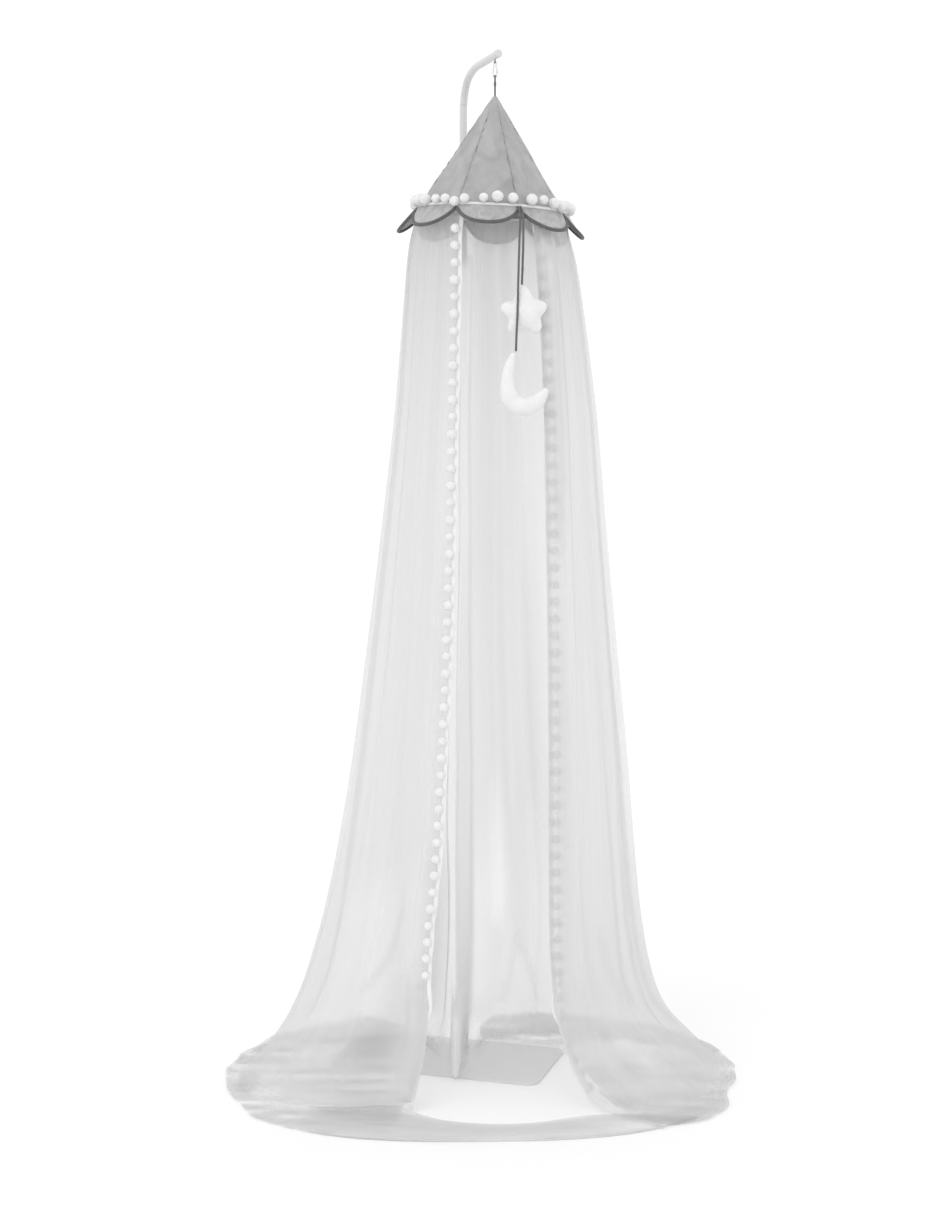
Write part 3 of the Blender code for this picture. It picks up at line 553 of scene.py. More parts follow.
@dataclass(frozen=True)
class Finish:
    """A named surface; its material is made once and then shared."""

    name: str
    tone: float
    roughness: float

    def material(self) -> bpy.types.Material:
        """Returns the material, and makes it the first time."""
        if found := bpy.data.materials.get(self.name):
            return found
        made = bpy.data.materials.new(self.name)
        made.use_nodes = True
        shader = made.node_tree.nodes["Principled BSDF"]
        shader.inputs["Base Color"].default_value = (*self.shade(1.0), 1.0)
        shader.inputs["Roughness"].default_value = self.roughness
        self.dress(Graph(made.node_tree), shader)
        return made

    def shade(self, share: float) -> tuple:
        """The finish's grey, lighter or darker by a share."""
        return (self.tone * share,) * 3

    def pair(self, low: float, high: float) -> tuple:
        """Two greys for a blend, as shares of the finish's own."""
        return (*self.shade(low), 1.0), (*self.shade(high), 1.0)

    def between(self, g: Graph, share: Socket, low: float, high: float) -> Socket:
        """A colour between two shares of the finish's grey."""
        return g.blend(share, *self.pair(low, high))

    def rough(self, g: Graph, share: Socket, low: float, high: float) -> Socket:
        """A roughness between two steps from the finish's own."""
        return g.span(share, 0.0, 1.0, self.roughness + low, self.roughness + high)

    def dress(self, g: Graph, shader: bpy.types.Node) -> None:
        """Adds the surface's own nodes."""

    def place(self, g: Graph) -> Socket:
        """Object coordinates."""
        return g.node("ShaderNodeTexCoord").outputs["Object"]

    def flat(self, g: Graph) -> Socket:
        """The place on the flat cloth, in metres."""
        return g.node("ShaderNodeUVMap", uv_map="cloth").outputs[0]


@dataclass(frozen=True)
class PaintedSteel(Finish):
    """Satin paint over steel: a faint peel, slightly uneven gloss and light rubbing."""

    peel: float = 0.0030
    gloss: float = 0.18

    def dress(self, g: Graph, shader: bpy.types.Node) -> None:
        """Adds the peel, the rubbing and the uneven gloss."""
        place = self.place(g)
        mottle = g.use(mottle_group(), Place=place, Size=0.060)
        rubs = g.noise(g.stretched(place, (220.0, 220.0, 9.0)), 1.0, 3.0)
        tone = g.math("MULTIPLY_ADD", rubs, 0.4, g.math("MULTIPLY", mottle.outputs["Broad"], 0.6))
        g.wire(shader, Base_Color=self.between(g, tone, 0.975, 1.02),
               Roughness=self.rough(g, mottle.outputs["Fine"], -0.05, 0.08),
               Normal=g.bump(g.noise(place, 1.0 / self.peel, 1.0), 0.00006, 0.5),
               Coat_Weight=self.gloss, Coat_Roughness=0.25)


@dataclass(frozen=True)
class ClearPlastic(Finish):
    """Frosted moulded plastic or bright wire."""

    def dress(self, g: Graph, shader: bpy.types.Node) -> None:
        """Adds moulding haze."""
        mottle = g.use(mottle_group(), Place=self.place(g), Size=0.004)
        g.wire(shader, Base_Color=self.between(g, mottle.outputs["Broad"], 0.93, 1.05),
               Roughness=self.rough(g, mottle.outputs["Fine"], 0.0, 0.12), Coat_Weight=0.3)


@dataclass(frozen=True)
class WovenCotton(Finish):
    """Plain woven cotton with slubs, soft blotches, a line of stitches by its seams and painted shade in the
    seams' grooves.
    """

    pitch: float = 0.00075
    stitch_in: float = 0.0030
    stitch_long: float = 0.0034
    blotch: float = 34.0
    patchy: float = 0.42

    def dress(self, g: Graph, shader: bpy.types.Node) -> None:
        """Adds the weave, the slubs, the blotches, the stitches and painted shade along the seams."""
        flat, place = self.flat(g), self.place(g)
        weave = g.use(weave_group(), Place=flat, Pitch=self.pitch)
        mottle = g.use(mottle_group(), Place=place, Size=0.045)
        slubs = g.math("ADD", *(g.noise(g.stretched(flat, way), 1.0, 2.0)
                                for way in ((900.0, 26.0, 1.0), (26.0, 900.0, 1.0))))
        stains = g.noise(g.stretched(place, (self.blotch, self.blotch, self.blotch * 0.4)), 1.0, 3.0, 0.8)
        tone = g.math("MULTIPLY_ADD", mottle.outputs["Broad"], 0.42,
                      g.math("MULTIPLY_ADD", slubs, 0.18, g.math("MULTIPLY", weave.outputs["Height"], 0.12)))
        tone = g.math("MULTIPLY_ADD", g.span(stains, 0.34, 0.62, 0.0, 1.0), self.patchy, tone)
        seam = g.stored("seam")
        _, along, _ = g.parts(flat)
        near = g.math("COMPARE", seam, self.stitch_in, 0.00045)
        dash = g.math("LESS_THAN", g.math("FRACT", g.math("DIVIDE", along, self.stitch_long)), 0.66)
        stitch = g.math("MULTIPLY", near, dash)
        # rut is 1 in the groove along a seam: it sinks the bump there and paints the cloth's grey darker,
        # painted shade in the groove.
        rut = g.span(seam, 0.0, 0.0022, 1.0, 0.0)
        plain = self.between(g, tone, 0.74, 1.22)
        seam_groove_shaded = g.blend(g.math("MULTIPLY", rut, 0.10), plain, (*self.shade(0.45), 1.0))
        sewn = g.blend(g.math("MULTIPLY", stitch, 0.30), seam_groove_shaded, (*self.shade(1.35), 1.0))
        high = g.math("ADD", g.math("MULTIPLY", weave.outputs["Height"], 0.35),
                      g.math("MULTIPLY_ADD", slubs, 0.5, g.math("MULTIPLY", stitch, 1.2)))
        high = g.math("SUBTRACT", high, g.math("MULTIPLY", rut, 1.2))
        g.wire(shader, Base_Color=sewn,
               Roughness=g.span(slubs, 0.7, 1.3, self.roughness + 0.05, self.roughness - 0.07),
               Normal=g.bump(high, 0.00035, 0.7), Sheen_Weight=0.25, Sheen_Roughness=0.6)


@dataclass(frozen=True)
class Binding(Finish):
    """Dark bias binding rolled over a cord, its threads running slantwise."""

    def dress(self, g: Graph, shader: bpy.types.Node) -> None:
        """Adds the slanting threads."""
        weave = g.use(weave_group(), Place=g.stretched(self.flat(g), (1.0, 0.72, 1.0)), Pitch=0.0006)
        mottle = g.use(mottle_group(), Place=self.place(g), Size=0.012)
        tone = g.math("MULTIPLY_ADD", weave.outputs["Height"], 0.5,
                      g.math("MULTIPLY", mottle.outputs["Broad"], 0.5))
        g.wire(shader, Base_Color=self.between(g, tone, 0.72, 1.35),
               Roughness=self.rough(g, mottle.outputs["Fine"], -0.06, 0.06),
               Normal=g.bump(weave.outputs["Height"], 0.00025, 0.7), Sheen_Weight=0.15)


@dataclass(frozen=True)
class TwistedCord(Finish):
    """Laid cotton cord: fine yarns along its strands."""

    def dress(self, g: Graph, shader: bpy.types.Node) -> None:
        """Adds the yarns and their fuzz."""
        across, along, _ = g.parts(self.flat(g))
        slant = g.math("MULTIPLY_ADD", across, 1.1, along)
        yarn = g.math("ABSOLUTE", g.math("SINE", g.math("MULTIPLY", slant, math.pi / 0.0009)))
        fuzz = g.use(fibre_group(), Place=self.place(g), Thread=0.0012)
        tone = g.math("MULTIPLY_ADD", yarn, 0.55, g.math("MULTIPLY", fuzz.outputs["Tone"], 0.45))
        g.wire(shader, Base_Color=self.between(g, tone, 0.70, 1.40),
               Roughness=self.rough(g, fuzz.outputs["Height"], -0.05, 0.08),
               Normal=g.bump(tone, 0.00030, 0.8), Sheen_Weight=0.2)


@dataclass(frozen=True)
class FluffyYarn(Finish):
    """Cut wool of a pompom."""

    thread: float = 0.0011

    def dress(self, g: Graph, shader: bpy.types.Node) -> None:
        """Adds the cut ends and the shadows between them."""
        fuzz = g.use(fibre_group(), Place=self.place(g), Thread=self.thread)
        g.wire(shader, Base_Color=self.between(g, fuzz.outputs["Tone"], 0.90, 1.03),
               Roughness=self.rough(g, fuzz.outputs["Height"], -0.08, 0.0),
               Normal=g.bump(fuzz.outputs["Height"], 0.0009, 0.6), Sheen_Weight=0.35, Sheen_Roughness=0.5)


@dataclass(frozen=True)
class ShortPile(Finish):
    """Short soft pile of the stuffed ornaments, with a sewn seam round their middle and painted shade in its
    groove.
    """

    middle_y: float = 0.0

    def dress(self, g: Graph, shader: bpy.types.Node) -> None:
        """Adds the pile, the seam's rut and painted shade along it."""
        place = self.place(g)
        fuzz = g.use(fibre_group(), Place=place, Thread=0.0013)
        mottle = g.use(mottle_group(), Place=place, Size=0.016)
        _, deep, _ = g.parts(place)
        rut = g.span(g.math("ABSOLUTE", g.math("SUBTRACT", deep, self.middle_y)), 0.0, 0.0011, 1.0, 0.0)
        tone = g.math("MULTIPLY_ADD", fuzz.outputs["Tone"], 0.5,
                      g.math("MULTIPLY", mottle.outputs["Broad"], 0.5))
        pile = self.between(g, tone, 0.93, 1.03)
        high = g.math("SUBTRACT", fuzz.outputs["Height"], g.math("MULTIPLY", rut, 2.0))
        # Along the seam the pile's grey is painted darker: painted shade in the seam's groove.
        g.wire(shader, Base_Color=g.blend(g.math("MULTIPLY", rut, 0.25), pile, (*self.shade(0.6), 1.0)),
               Roughness=self.rough(g, fuzz.outputs["Height"], -0.08, 0.0),
               Normal=g.bump(high, 0.0006, 0.6), Sheen_Weight=0.4, Sheen_Roughness=0.5)


@dataclass(frozen=True)
class SheerNet(Finish):
    """Very fine net: how much it hides follows how closely the cloth is gathered at each place."""

    hides: float = 0.50
    through: float = 0.45
    pitch: float = 0.0016

    def dress(self, g: Graph, shader: bpy.types.Node) -> None:
        """Adds the threads, the soft streaks down the cloth, painted light in its deepest folds and the
        see-through share.
        """
        flat = self.flat(g)
        weave = g.use(weave_group(), Place=flat, Pitch=self.pitch)
        layers, hung = g.stored("layers"), g.stored("hung")
        streaks = g.noise(g.stretched(flat, (9.0, 0.7, 1.0)), 1.0, 2.0, 0.3)
        fine = g.noise(g.stretched(flat, (46.0, 1.8, 1.0)), 1.0, 2.0)
        worth = g.math("MULTIPLY", g.span(streaks, 0.30, 0.70, 0.80, 1.22),
                       g.span(fine, 0.3, 0.7, 0.98, 1.02))
        worth = g.math("MULTIPLY_ADD", g.math("SUBTRACT", worth, 1.0), hung, 1.0)
        threads = g.span(weave.outputs["Gap"], 0.0, 0.5, 1.06, 0.86)
        power = g.math("MULTIPLY", g.math("MULTIPLY", layers, worth), threads)
        clear = g.math("POWER", 1.0 - self.hides, power)
        tone = g.math("MULTIPLY_ADD", streaks, 0.6, g.math("MULTIPLY", weave.outputs["Height"], 0.3))
        # Past 2.4 layers on hung cloth the net's grey is painted up to 1.24 times lighter: painted light that
        # makes up for the shade inside its deep folds and the pleat round the pole.
        dense_fold_painted_light = g.math("MULTIPLY", g.span(layers, 2.4, 4.0, 0.0, 1.0), hung)
        colour = g.blend(dense_fold_painted_light, self.between(g, tone, 0.95, 1.04), (*self.shade(1.24), 1.0))
        normal = g.bump(weave.outputs["Height"], 0.0002, 0.35)
        g.wire(shader, Base_Color=colour, Normal=normal,
               Roughness=g.span(fine, 0.3, 0.7, self.roughness - 0.06, self.roughness + 0.04))
        glow = g.node("ShaderNodeBsdfTranslucent")
        g.wire(glow, Color=colour, Normal=normal)
        cloth = g.layer(self.through, shader.outputs[0], glow.outputs[0])
        seen = g.layer(clear, cloth, g.node("ShaderNodeBsdfTransparent").outputs[0])
        g.feed(g.tree.nodes["Material Output"].inputs["Surface"], seen)


@dataclass(frozen=True)
class WovenTape(Finish):
    """Narrow woven tape with a ribbed face."""

    def dress(self, g: Graph, shader: bpy.types.Node) -> None:
        """Adds the ribs and the threads."""
        flat = self.flat(g)
        weave = g.use(weave_group(), Place=flat, Pitch=0.0008)
        _, along, _ = g.parts(flat)
        ribs = g.math("ABSOLUTE", g.math("SINE", g.math("MULTIPLY", along, math.pi / 0.0018)))
        high = g.math("MULTIPLY_ADD", ribs, 0.6, g.math("MULTIPLY", weave.outputs["Height"], 0.4))
        g.wire(shader, Base_Color=self.between(g, high, 0.90, 1.04),
               Roughness=self.rough(g, high, 0.0, -0.08), Normal=g.bump(high, 0.0003, 0.6))


@dataclass(frozen=True)
class PaleFloor(Finish):
    """Plain pale studio floor."""

    def dress(self, g: Graph, shader: bpy.types.Node) -> None:
        """Adds a trace of unevenness in its sheen."""
        mottle = g.use(mottle_group(), Place=self.place(g), Size=0.4)
        g.wire(shader, Roughness=self.rough(g, mottle.outputs["Broad"], -0.02, 0.04), Specular_IOR_Level=0.1)


STEEL = PaintedSteel("stand_satin_paint", 0.63, 0.36)
# The lower tube and the socket wear the same satin paint as the upper tube, but its grey is painted lighter
# here: painted light that makes up for the shade the net casts on the pole low down.
LOWER_STEEL_PAINTED_LIGHT = PaintedSteel("stand_lower_paint_painted_light", 0.71, 0.38)
PLATE_STEEL = PaintedSteel("plate_satin_paint", 0.64, 0.42, peel=0.0018, gloss=0.10)
LINK_FINISH = ClearPlastic("clip_frosted", 0.66, 0.28)
COTTON = WovenCotton("roof_woven_cotton", 0.335, 0.86)
FLAP_COTTON = WovenCotton("flap_woven_cotton", 0.355, 0.86, blotch=80.0, patchy=0.70)
PIPING = Binding("dark_piped_binding", 0.10, 0.84)
CORD = TwistedCord("dark_laid_cord", 0.115, 0.86)
WOOL = FluffyYarn("white_pompom_wool", 0.87, 0.95)
NET_CLOTH = SheerNet("sheer_fine_net", 0.745, 0.90)
TAPE = WovenTape("white_edge_tape", 0.88, 0.88)
STAR_PILE = ShortPile("star_short_pile", 0.82, 0.95, middle_y=-0.1580)
MOON_PILE = ShortPile("moon_short_pile", 0.82, 0.95, middle_y=-0.1735)
FLOOR = PaleFloor("pale_floor", 0.90, 0.9)


# The studio


@dataclass
class Studio:
    """Camera at the photograph's place, pale floor, soft light."""

    eye: tuple = (-0.0434, -3.3086, 1.1449)
    dip: float = 4.9056
    focal_px: float = 1870.0
    tall_px: float = 1215.0
    sensor_mm: float = 36.0
    floor_wide: float = 40.0
    sky: float = 1.05
    sun: float = 0.50
    sun_soft: float = 55.0
    sun_from: tuple = (-1.1, -2.2, 2.6)

    def build(self) -> None:
        """Sets up the camera, the floor, the sky and the lamps."""
        self.camera()
        self.floor()
        self.lamps()

    def camera(self) -> None:
        """Adds the camera."""
        lens = bpy.data.cameras.new("camera")
        lens.sensor_fit = "VERTICAL"
        lens.sensor_height = self.sensor_mm
        lens.lens = self.focal_px / self.tall_px * self.sensor_mm
        lens.clip_end = 60.0
        seen = bpy.data.objects.new("camera", lens)
        seen.location = self.eye
        seen.rotation_euler = (math.radians(90.0 - self.dip), 0.0, 0.0)
        bpy.context.collection.objects.link(seen)
        bpy.context.scene.camera = seen

    def floor(self) -> None:
        """Adds the floor, as part of the stage."""
        ground = primitive(bpy.ops.mesh.primitive_plane_add, "studio_floor", None, size=self.floor_wide,
                           location=(0.0, 0.0, 0.0))
        ground.data.materials.append(FLOOR.material())

    def lamps(self) -> None:
        """Adds the even sky and the soft key light."""
        sky = bpy.data.worlds.new("pale_sky")
        sky.use_nodes = True
        Graph(sky.node_tree).wire(sky.node_tree.nodes["Background"], Color=(1.0, 1.0, 1.0, 1.0),
                                  Strength=self.sky)
        bpy.context.scene.world = sky
        glow = bpy.data.lights.new("key", "SUN")
        glow.energy = self.sun
        glow.angle = math.radians(self.sun_soft)
        lamp = bpy.data.objects.new("key", glow)
        lamp.rotation_euler = Vector(self.sun_from).to_track_quat("Z", "Y").to_euler()
        bpy.context.collection.objects.link(lamp)
        bpy.context.scene.cycles.transparent_max_bounces = 40
        look = bpy.context.scene.view_settings
        look.view_transform = "Standard"
        look.look = "None"


# The stand


PLATE_SIZE = (0.400, 0.210, 0.005)
PLATE_CENTRE = (-0.0845, 0.1228)
PLATE_TURN = -17.3


@dataclass
class Stand:
    """Flat base plate, two-part pole with a bent arm, and the small fittings on them."""

    plate_corner: float = 0.022
    plate_rim: float = 0.0008
    fit: float = 0.0004
    bore_deep: float = 0.045
    bead_r: float = 0.0011
    pole_xy: tuple = (-0.0556, 0.1754)
    lower_r: float = 0.0095
    upper_r: float = 0.0068
    socket_top: float = 0.087
    joint_z: float = 0.950
    arm_end: tuple = (0.0040, -0.0080)
    bend: tuple = ((0.000, 0.9100), (0.000, 1.2000), (0.000, 1.5000), (0.000, 1.7400), (0.012, 1.7700),
                   (0.045, 1.7880), (0.100, 1.8020), (0.180, 1.8120), (0.280, 1.8180), (0.400, 1.8212),
                   (0.560, 1.8215), (0.900, 1.8215), (1.000, 1.8215))
    button_z: float = 0.068
    button_azimuth: float = 20.0

    def build(self) -> None:
        """Makes and dresses every piece of the stand."""
        finish_piece(self.plate(), PLATE_STEEL, ["base_plate"])
        finish_piece(self.socket(), LOWER_STEEL_PAINTED_LIGHT, ["pole_socket"])
        finish_piece(self.button(), LINK_FINISH, ["catch_button"])
        finish_piece(self.lower_tube(), LOWER_STEEL_PAINTED_LIGHT, ["lower_pole"])
        finish_piece(self.upper_tube(), STEEL, ["upper_pole"])
        finish_piece(self.cap(), STEEL, ["end_cap"])

    def plate(self) -> Thing:
        """Steel plate with rounded corners and a broken upper edge."""
        thick = PLATE_SIZE[2]
        plate = primitive(bpy.ops.mesh.primitive_cube_add, "base_plate_steel", None, size=1.0,
                          location=(0.0, 0.0, thick / 2), scale=PLATE_SIZE)
        round_edges(plate, lambda a, b: abs(a.z - b.z) > thick / 2, self.plate_corner, 10)
        round_edges(plate, lambda a, b: min(a.z, b.z) > thick * 0.9, self.plate_rim, 3)
        plate.location = (*PLATE_CENTRE, 0.0)
        plate.rotation_euler = (0.0, 0.0, math.radians(PLATE_TURN))
        return settle(plate, "base_plate_steel", 35.0)

    def tube(self, name: str, low: float, high: float, bore: float = 0.0) -> Thing:
        """An upright tube with broken rims.

        Args:
            name: The piece's name.
            low: Where it starts.
            high: Where it ends.
            bore: The radius of the open hole at its top, or 0.

        Returns:
            The tube.
        """
        tube = primitive(bpy.ops.mesh.primitive_cylinder_add, name, None, vertices=48, radius=self.lower_r,
                         depth=high - low, location=(*self.pole_xy, (low + high) / 2))
        choose(tube, "FACE", lambda middle, normal: normal.z > 0.9)
        if bore > 0.0:
            bpy.ops.mesh.inset(thickness=self.lower_r - bore, depth=0.0)
            bpy.ops.mesh.extrude_region_move(TRANSFORM_OT_translate={"value": (0.0, 0.0, -self.bore_deep)})
        bpy.ops.object.mode_set(mode="OBJECT")
        apply_modifier(tube, "BEVEL", width=0.0005, segments=2, limit_method="ANGLE",
                       angle_limit=math.radians(60.0))
        return settle(tube, name, 35.0)

    def socket(self) -> Thing:
        """Short tube on the plate, with a thin bead where it meets the steel."""
        tube = self.tube("pole_socket_tube", PLATE_SIZE[2] + self.fit, self.socket_top)
        bead = primitive(bpy.ops.mesh.primitive_torus_add, "bead", 60.0, major_radius=self.lower_r,
                         minor_radius=self.bead_r, major_segments=48, minor_segments=8,
                         location=(*self.pole_xy, PLATE_SIZE[2] + self.bead_r))
        return join_pieces("pole_socket_tube", [tube, bead])

    def button(self) -> Thing:
        """Round catch button with a thin rim in the socket's wall."""
        turn = math.radians(self.button_azimuth)
        way = Vector((math.sin(turn), -math.cos(turn), 0.0))
        spot = Vector((*self.pole_xy, self.button_z)) + way * (self.lower_r - 0.0006)
        tilt = way.to_track_quat("Z", "Y").to_euler()
        knob = primitive(bpy.ops.mesh.primitive_uv_sphere_add, "knob", 60.0, segments=20, ring_count=12,
                         radius=0.0029, location=spot, rotation=tilt, scale=(1.0, 1.0, 0.75))
        rim = primitive(bpy.ops.mesh.primitive_torus_add, "rim", 60.0, major_radius=0.0033,
                        minor_radius=0.0004, major_segments=28, minor_segments=6,
                        location=spot + way * 0.0004, rotation=tilt)
        return join_pieces("socket_catch_button", [knob, rim])

    def lower_tube(self) -> Thing:
        """The wide lower tube, open at its top for the slim one."""
        return self.tube("lower_pole_tube", self.socket_top + self.fit, self.joint_z, self.upper_r + self.fit)

    def arm_line(self, count: int) -> np.ndarray:
        """The upper tube's centre line."""
        rows = [(self.pole_xy[0] + (self.arm_end[0] - self.pole_xy[0]) * share,
                 self.pole_xy[1] + (self.arm_end[1] - self.pole_xy[1]) * share, z) for share, z in self.bend]
        return sampled(rows, count)

    def upper_tube(self) -> Thing:
        """The slim upper tube with its bent arm."""
        line = bpy.data.curves.new("upper_pole_tube", "CURVE")
        line.dimensions = "3D"
        line.bevel_depth = self.upper_r
        line.bevel_resolution = 7
        line.use_fill_caps = True
        path = self.arm_line(110)
        run = line.splines.new("POLY")
        run.points.add(len(path) - 1)
        for spot, place in zip(run.points, path):
            spot.co = (*place, 1.0)
        tube = bpy.data.objects.new("upper_pole_tube", line)
        bpy.context.collection.objects.link(tube)
        pick(tube)
        bpy.ops.object.convert(target="MESH")
        return settle(bpy.context.object, "upper_pole_tube", 50.0)

    def cap(self) -> Thing:
        """Rounded cap pushed on the arm's end."""
        path = self.arm_line(110)
        way = Vector(path[-1] - path[-2]).normalized()
        cap = primitive(bpy.ops.mesh.primitive_cylinder_add, "arm_end_cap", None, vertices=40,
                        radius=self.upper_r * 1.06, depth=0.0064, location=Vector(path[-1]) + way * 0.0036,
                        rotation=way.to_track_quat("Z", "Y").to_euler())
        tip = Vector(path[-1]) + way * 0.0066
        round_edges(cap, lambda a, b: min((a - tip).dot(way), (b - tip).dot(way)) > -0.0005, 0.0028, 5)
        return settle(cap, "arm_end_cap", 50.0)


@dataclass
class HangingGear:
    """Eye under the arm, clip and cord loop that carry the roof."""

    eye_z: float = 1.8106
    eye_r: float = 0.0027
    eye_wire: float = 0.0010
    clip_top: float = 1.8100
    clip_low: float = 1.7830
    clip_half: float = 0.0034
    clip_wire: float = 0.0010
    cord_r: float = 0.0016

    def build(self) -> None:
        """Makes and dresses the gear."""
        finish_piece(self.eye(), PIPING, ["arm_eye"])
        finish_piece(self.clip(), LINK_FINISH, ["snap_link"])
        finish_piece(self.loop(), CORD, ["hanging_loop"])

    def eye(self) -> Thing:
        """Small dark eye."""
        return primitive(bpy.ops.mesh.primitive_torus_add, "arm_eye_ring", 60.0, major_radius=self.eye_r,
                         minor_radius=self.eye_wire, major_segments=32, minor_segments=10,
                         location=(0.0, 0.0, self.eye_z), rotation=(0.0, math.pi / 2, 0.0))

    def clip(self) -> Thing:
        """Slim clip: a narrow neck over an oval loop, with its small gate sleeve."""
        top, low, half = self.clip_top, self.clip_low, self.clip_half
        rows = ((0.0, top), (0.0017, top - 0.0004), (0.0021, top - 0.0030), (0.0018, top - 0.0060),
                (0.0017, top - 0.0090), (half * 0.85, top - 0.0120), (half, top - 0.0160),
                (half * 0.9, low + 0.0040), (half * 0.55, low + 0.0010), (0.0, low))
        line = sampled(rows, 41)
        right = [(x, 0.0, z) for x, z in line]
        left = [(-x, 0.0, z) for x, z in reversed(line[1:-1])]
        wire = tube_piece("clip_wire", np.array(right + left), self.clip_wire, 10, closed=True)
        gate = primitive(bpy.ops.mesh.primitive_cylinder_add, "gate", None, vertices=24,
                         radius=self.clip_wire * 1.6, depth=0.0062, location=(half, 0.0, top - 0.0165))
        apply_modifier(gate, "BEVEL", width=0.0005, segments=3, limit_method="ANGLE")
        settle(gate, "gate", 40.0)
        return join_pieces("hanging_clip", [wire, gate])

    def loop(self) -> Thing:
        """Laid cord loop from the peak through the clip, with a close whipping under the clip."""
        reach = self.clip_wire + self.cord_r + 0.0003
        low = self.clip_low
        rows = ((0.0, -0.0018, 1.7440), (0.0, -0.0018, 1.7540), (0.0, -0.0019, 1.7660),
                (0.0, -reach, low - 0.0012), (0.0, -reach * 0.72, low + reach * 0.78),
                (0.0, 0.0, low + reach * 1.08), (0.0, reach * 0.72, low + reach * 0.78),
                (0.0, reach, low - 0.0012), (0.0, 0.0019, 1.7660), (0.0, 0.0018, 1.7540),
                (0.0, 0.0018, 1.7440))
        path = sampled(rows, 150)
        strand = tube_piece("strand", path, laid_radius(self.cord_r, 0.0042), 12)
        wraps = [(math.cos(a) * 0.0017, math.sin(a) * 0.0036, 1.7690 + 0.0008 * a / (2 * math.pi))
                 for a in np.linspace(0.0, 2 * math.pi * 7.2, 190)]
        whipping = tube_piece("whipping", np.array(wraps), 0.00045, 8)
        return join_pieces("hanging_cord_loop", [strand, whipping])


def laid_radius(radius: float, pitch: float) -> object:
    """The outline of a three-strand laid cord.

    Args:
        radius: Of the circle round the cord.
        pitch: How far one strand runs in a full turn.

    Returns:
        A function of the run and the turns round it.
    """
    def outline(run: float, turns: np.ndarray) -> np.ndarray:
        """The distance from the middle, thinner between the strands."""
        wave = np.abs(np.cos(1.5 * 2 * math.pi * (turns - run / pitch)))
        return radius * (0.84 + 0.16 * wave)
    return outline


# The roof


@dataclass(frozen=True)
class RingPlane:
    """The tilted plane of the roof's foot."""

    centre_x: float = -0.006
    height: float = 1.553
    slope_x: float = -0.046
    slope_y: float = 0.030

    def level(self, x: object, y: object) -> object:
        """The plane's height at a place."""
        return self.height + self.slope_x * (x - self.centre_x) + self.slope_y * y

    def point(self, azimuth: object, radius: object, rise: object = 0.0) -> np.ndarray:
        """Points round the ring.

        Args:
            azimuth: Degrees from the front, to the right positive.
            radius: From the ring's middle.
            rise: Above the plane.

        Returns:
            One row of three numbers per azimuth.
        """
        turn = np.radians(azimuth)
        x = self.centre_x + radius * np.sin(turn)
        y = -radius * np.cos(turn)
        return np.stack(np.broadcast_arrays(x, y, self.level(x, y) + rise), axis=-1)


RING = RingPlane()


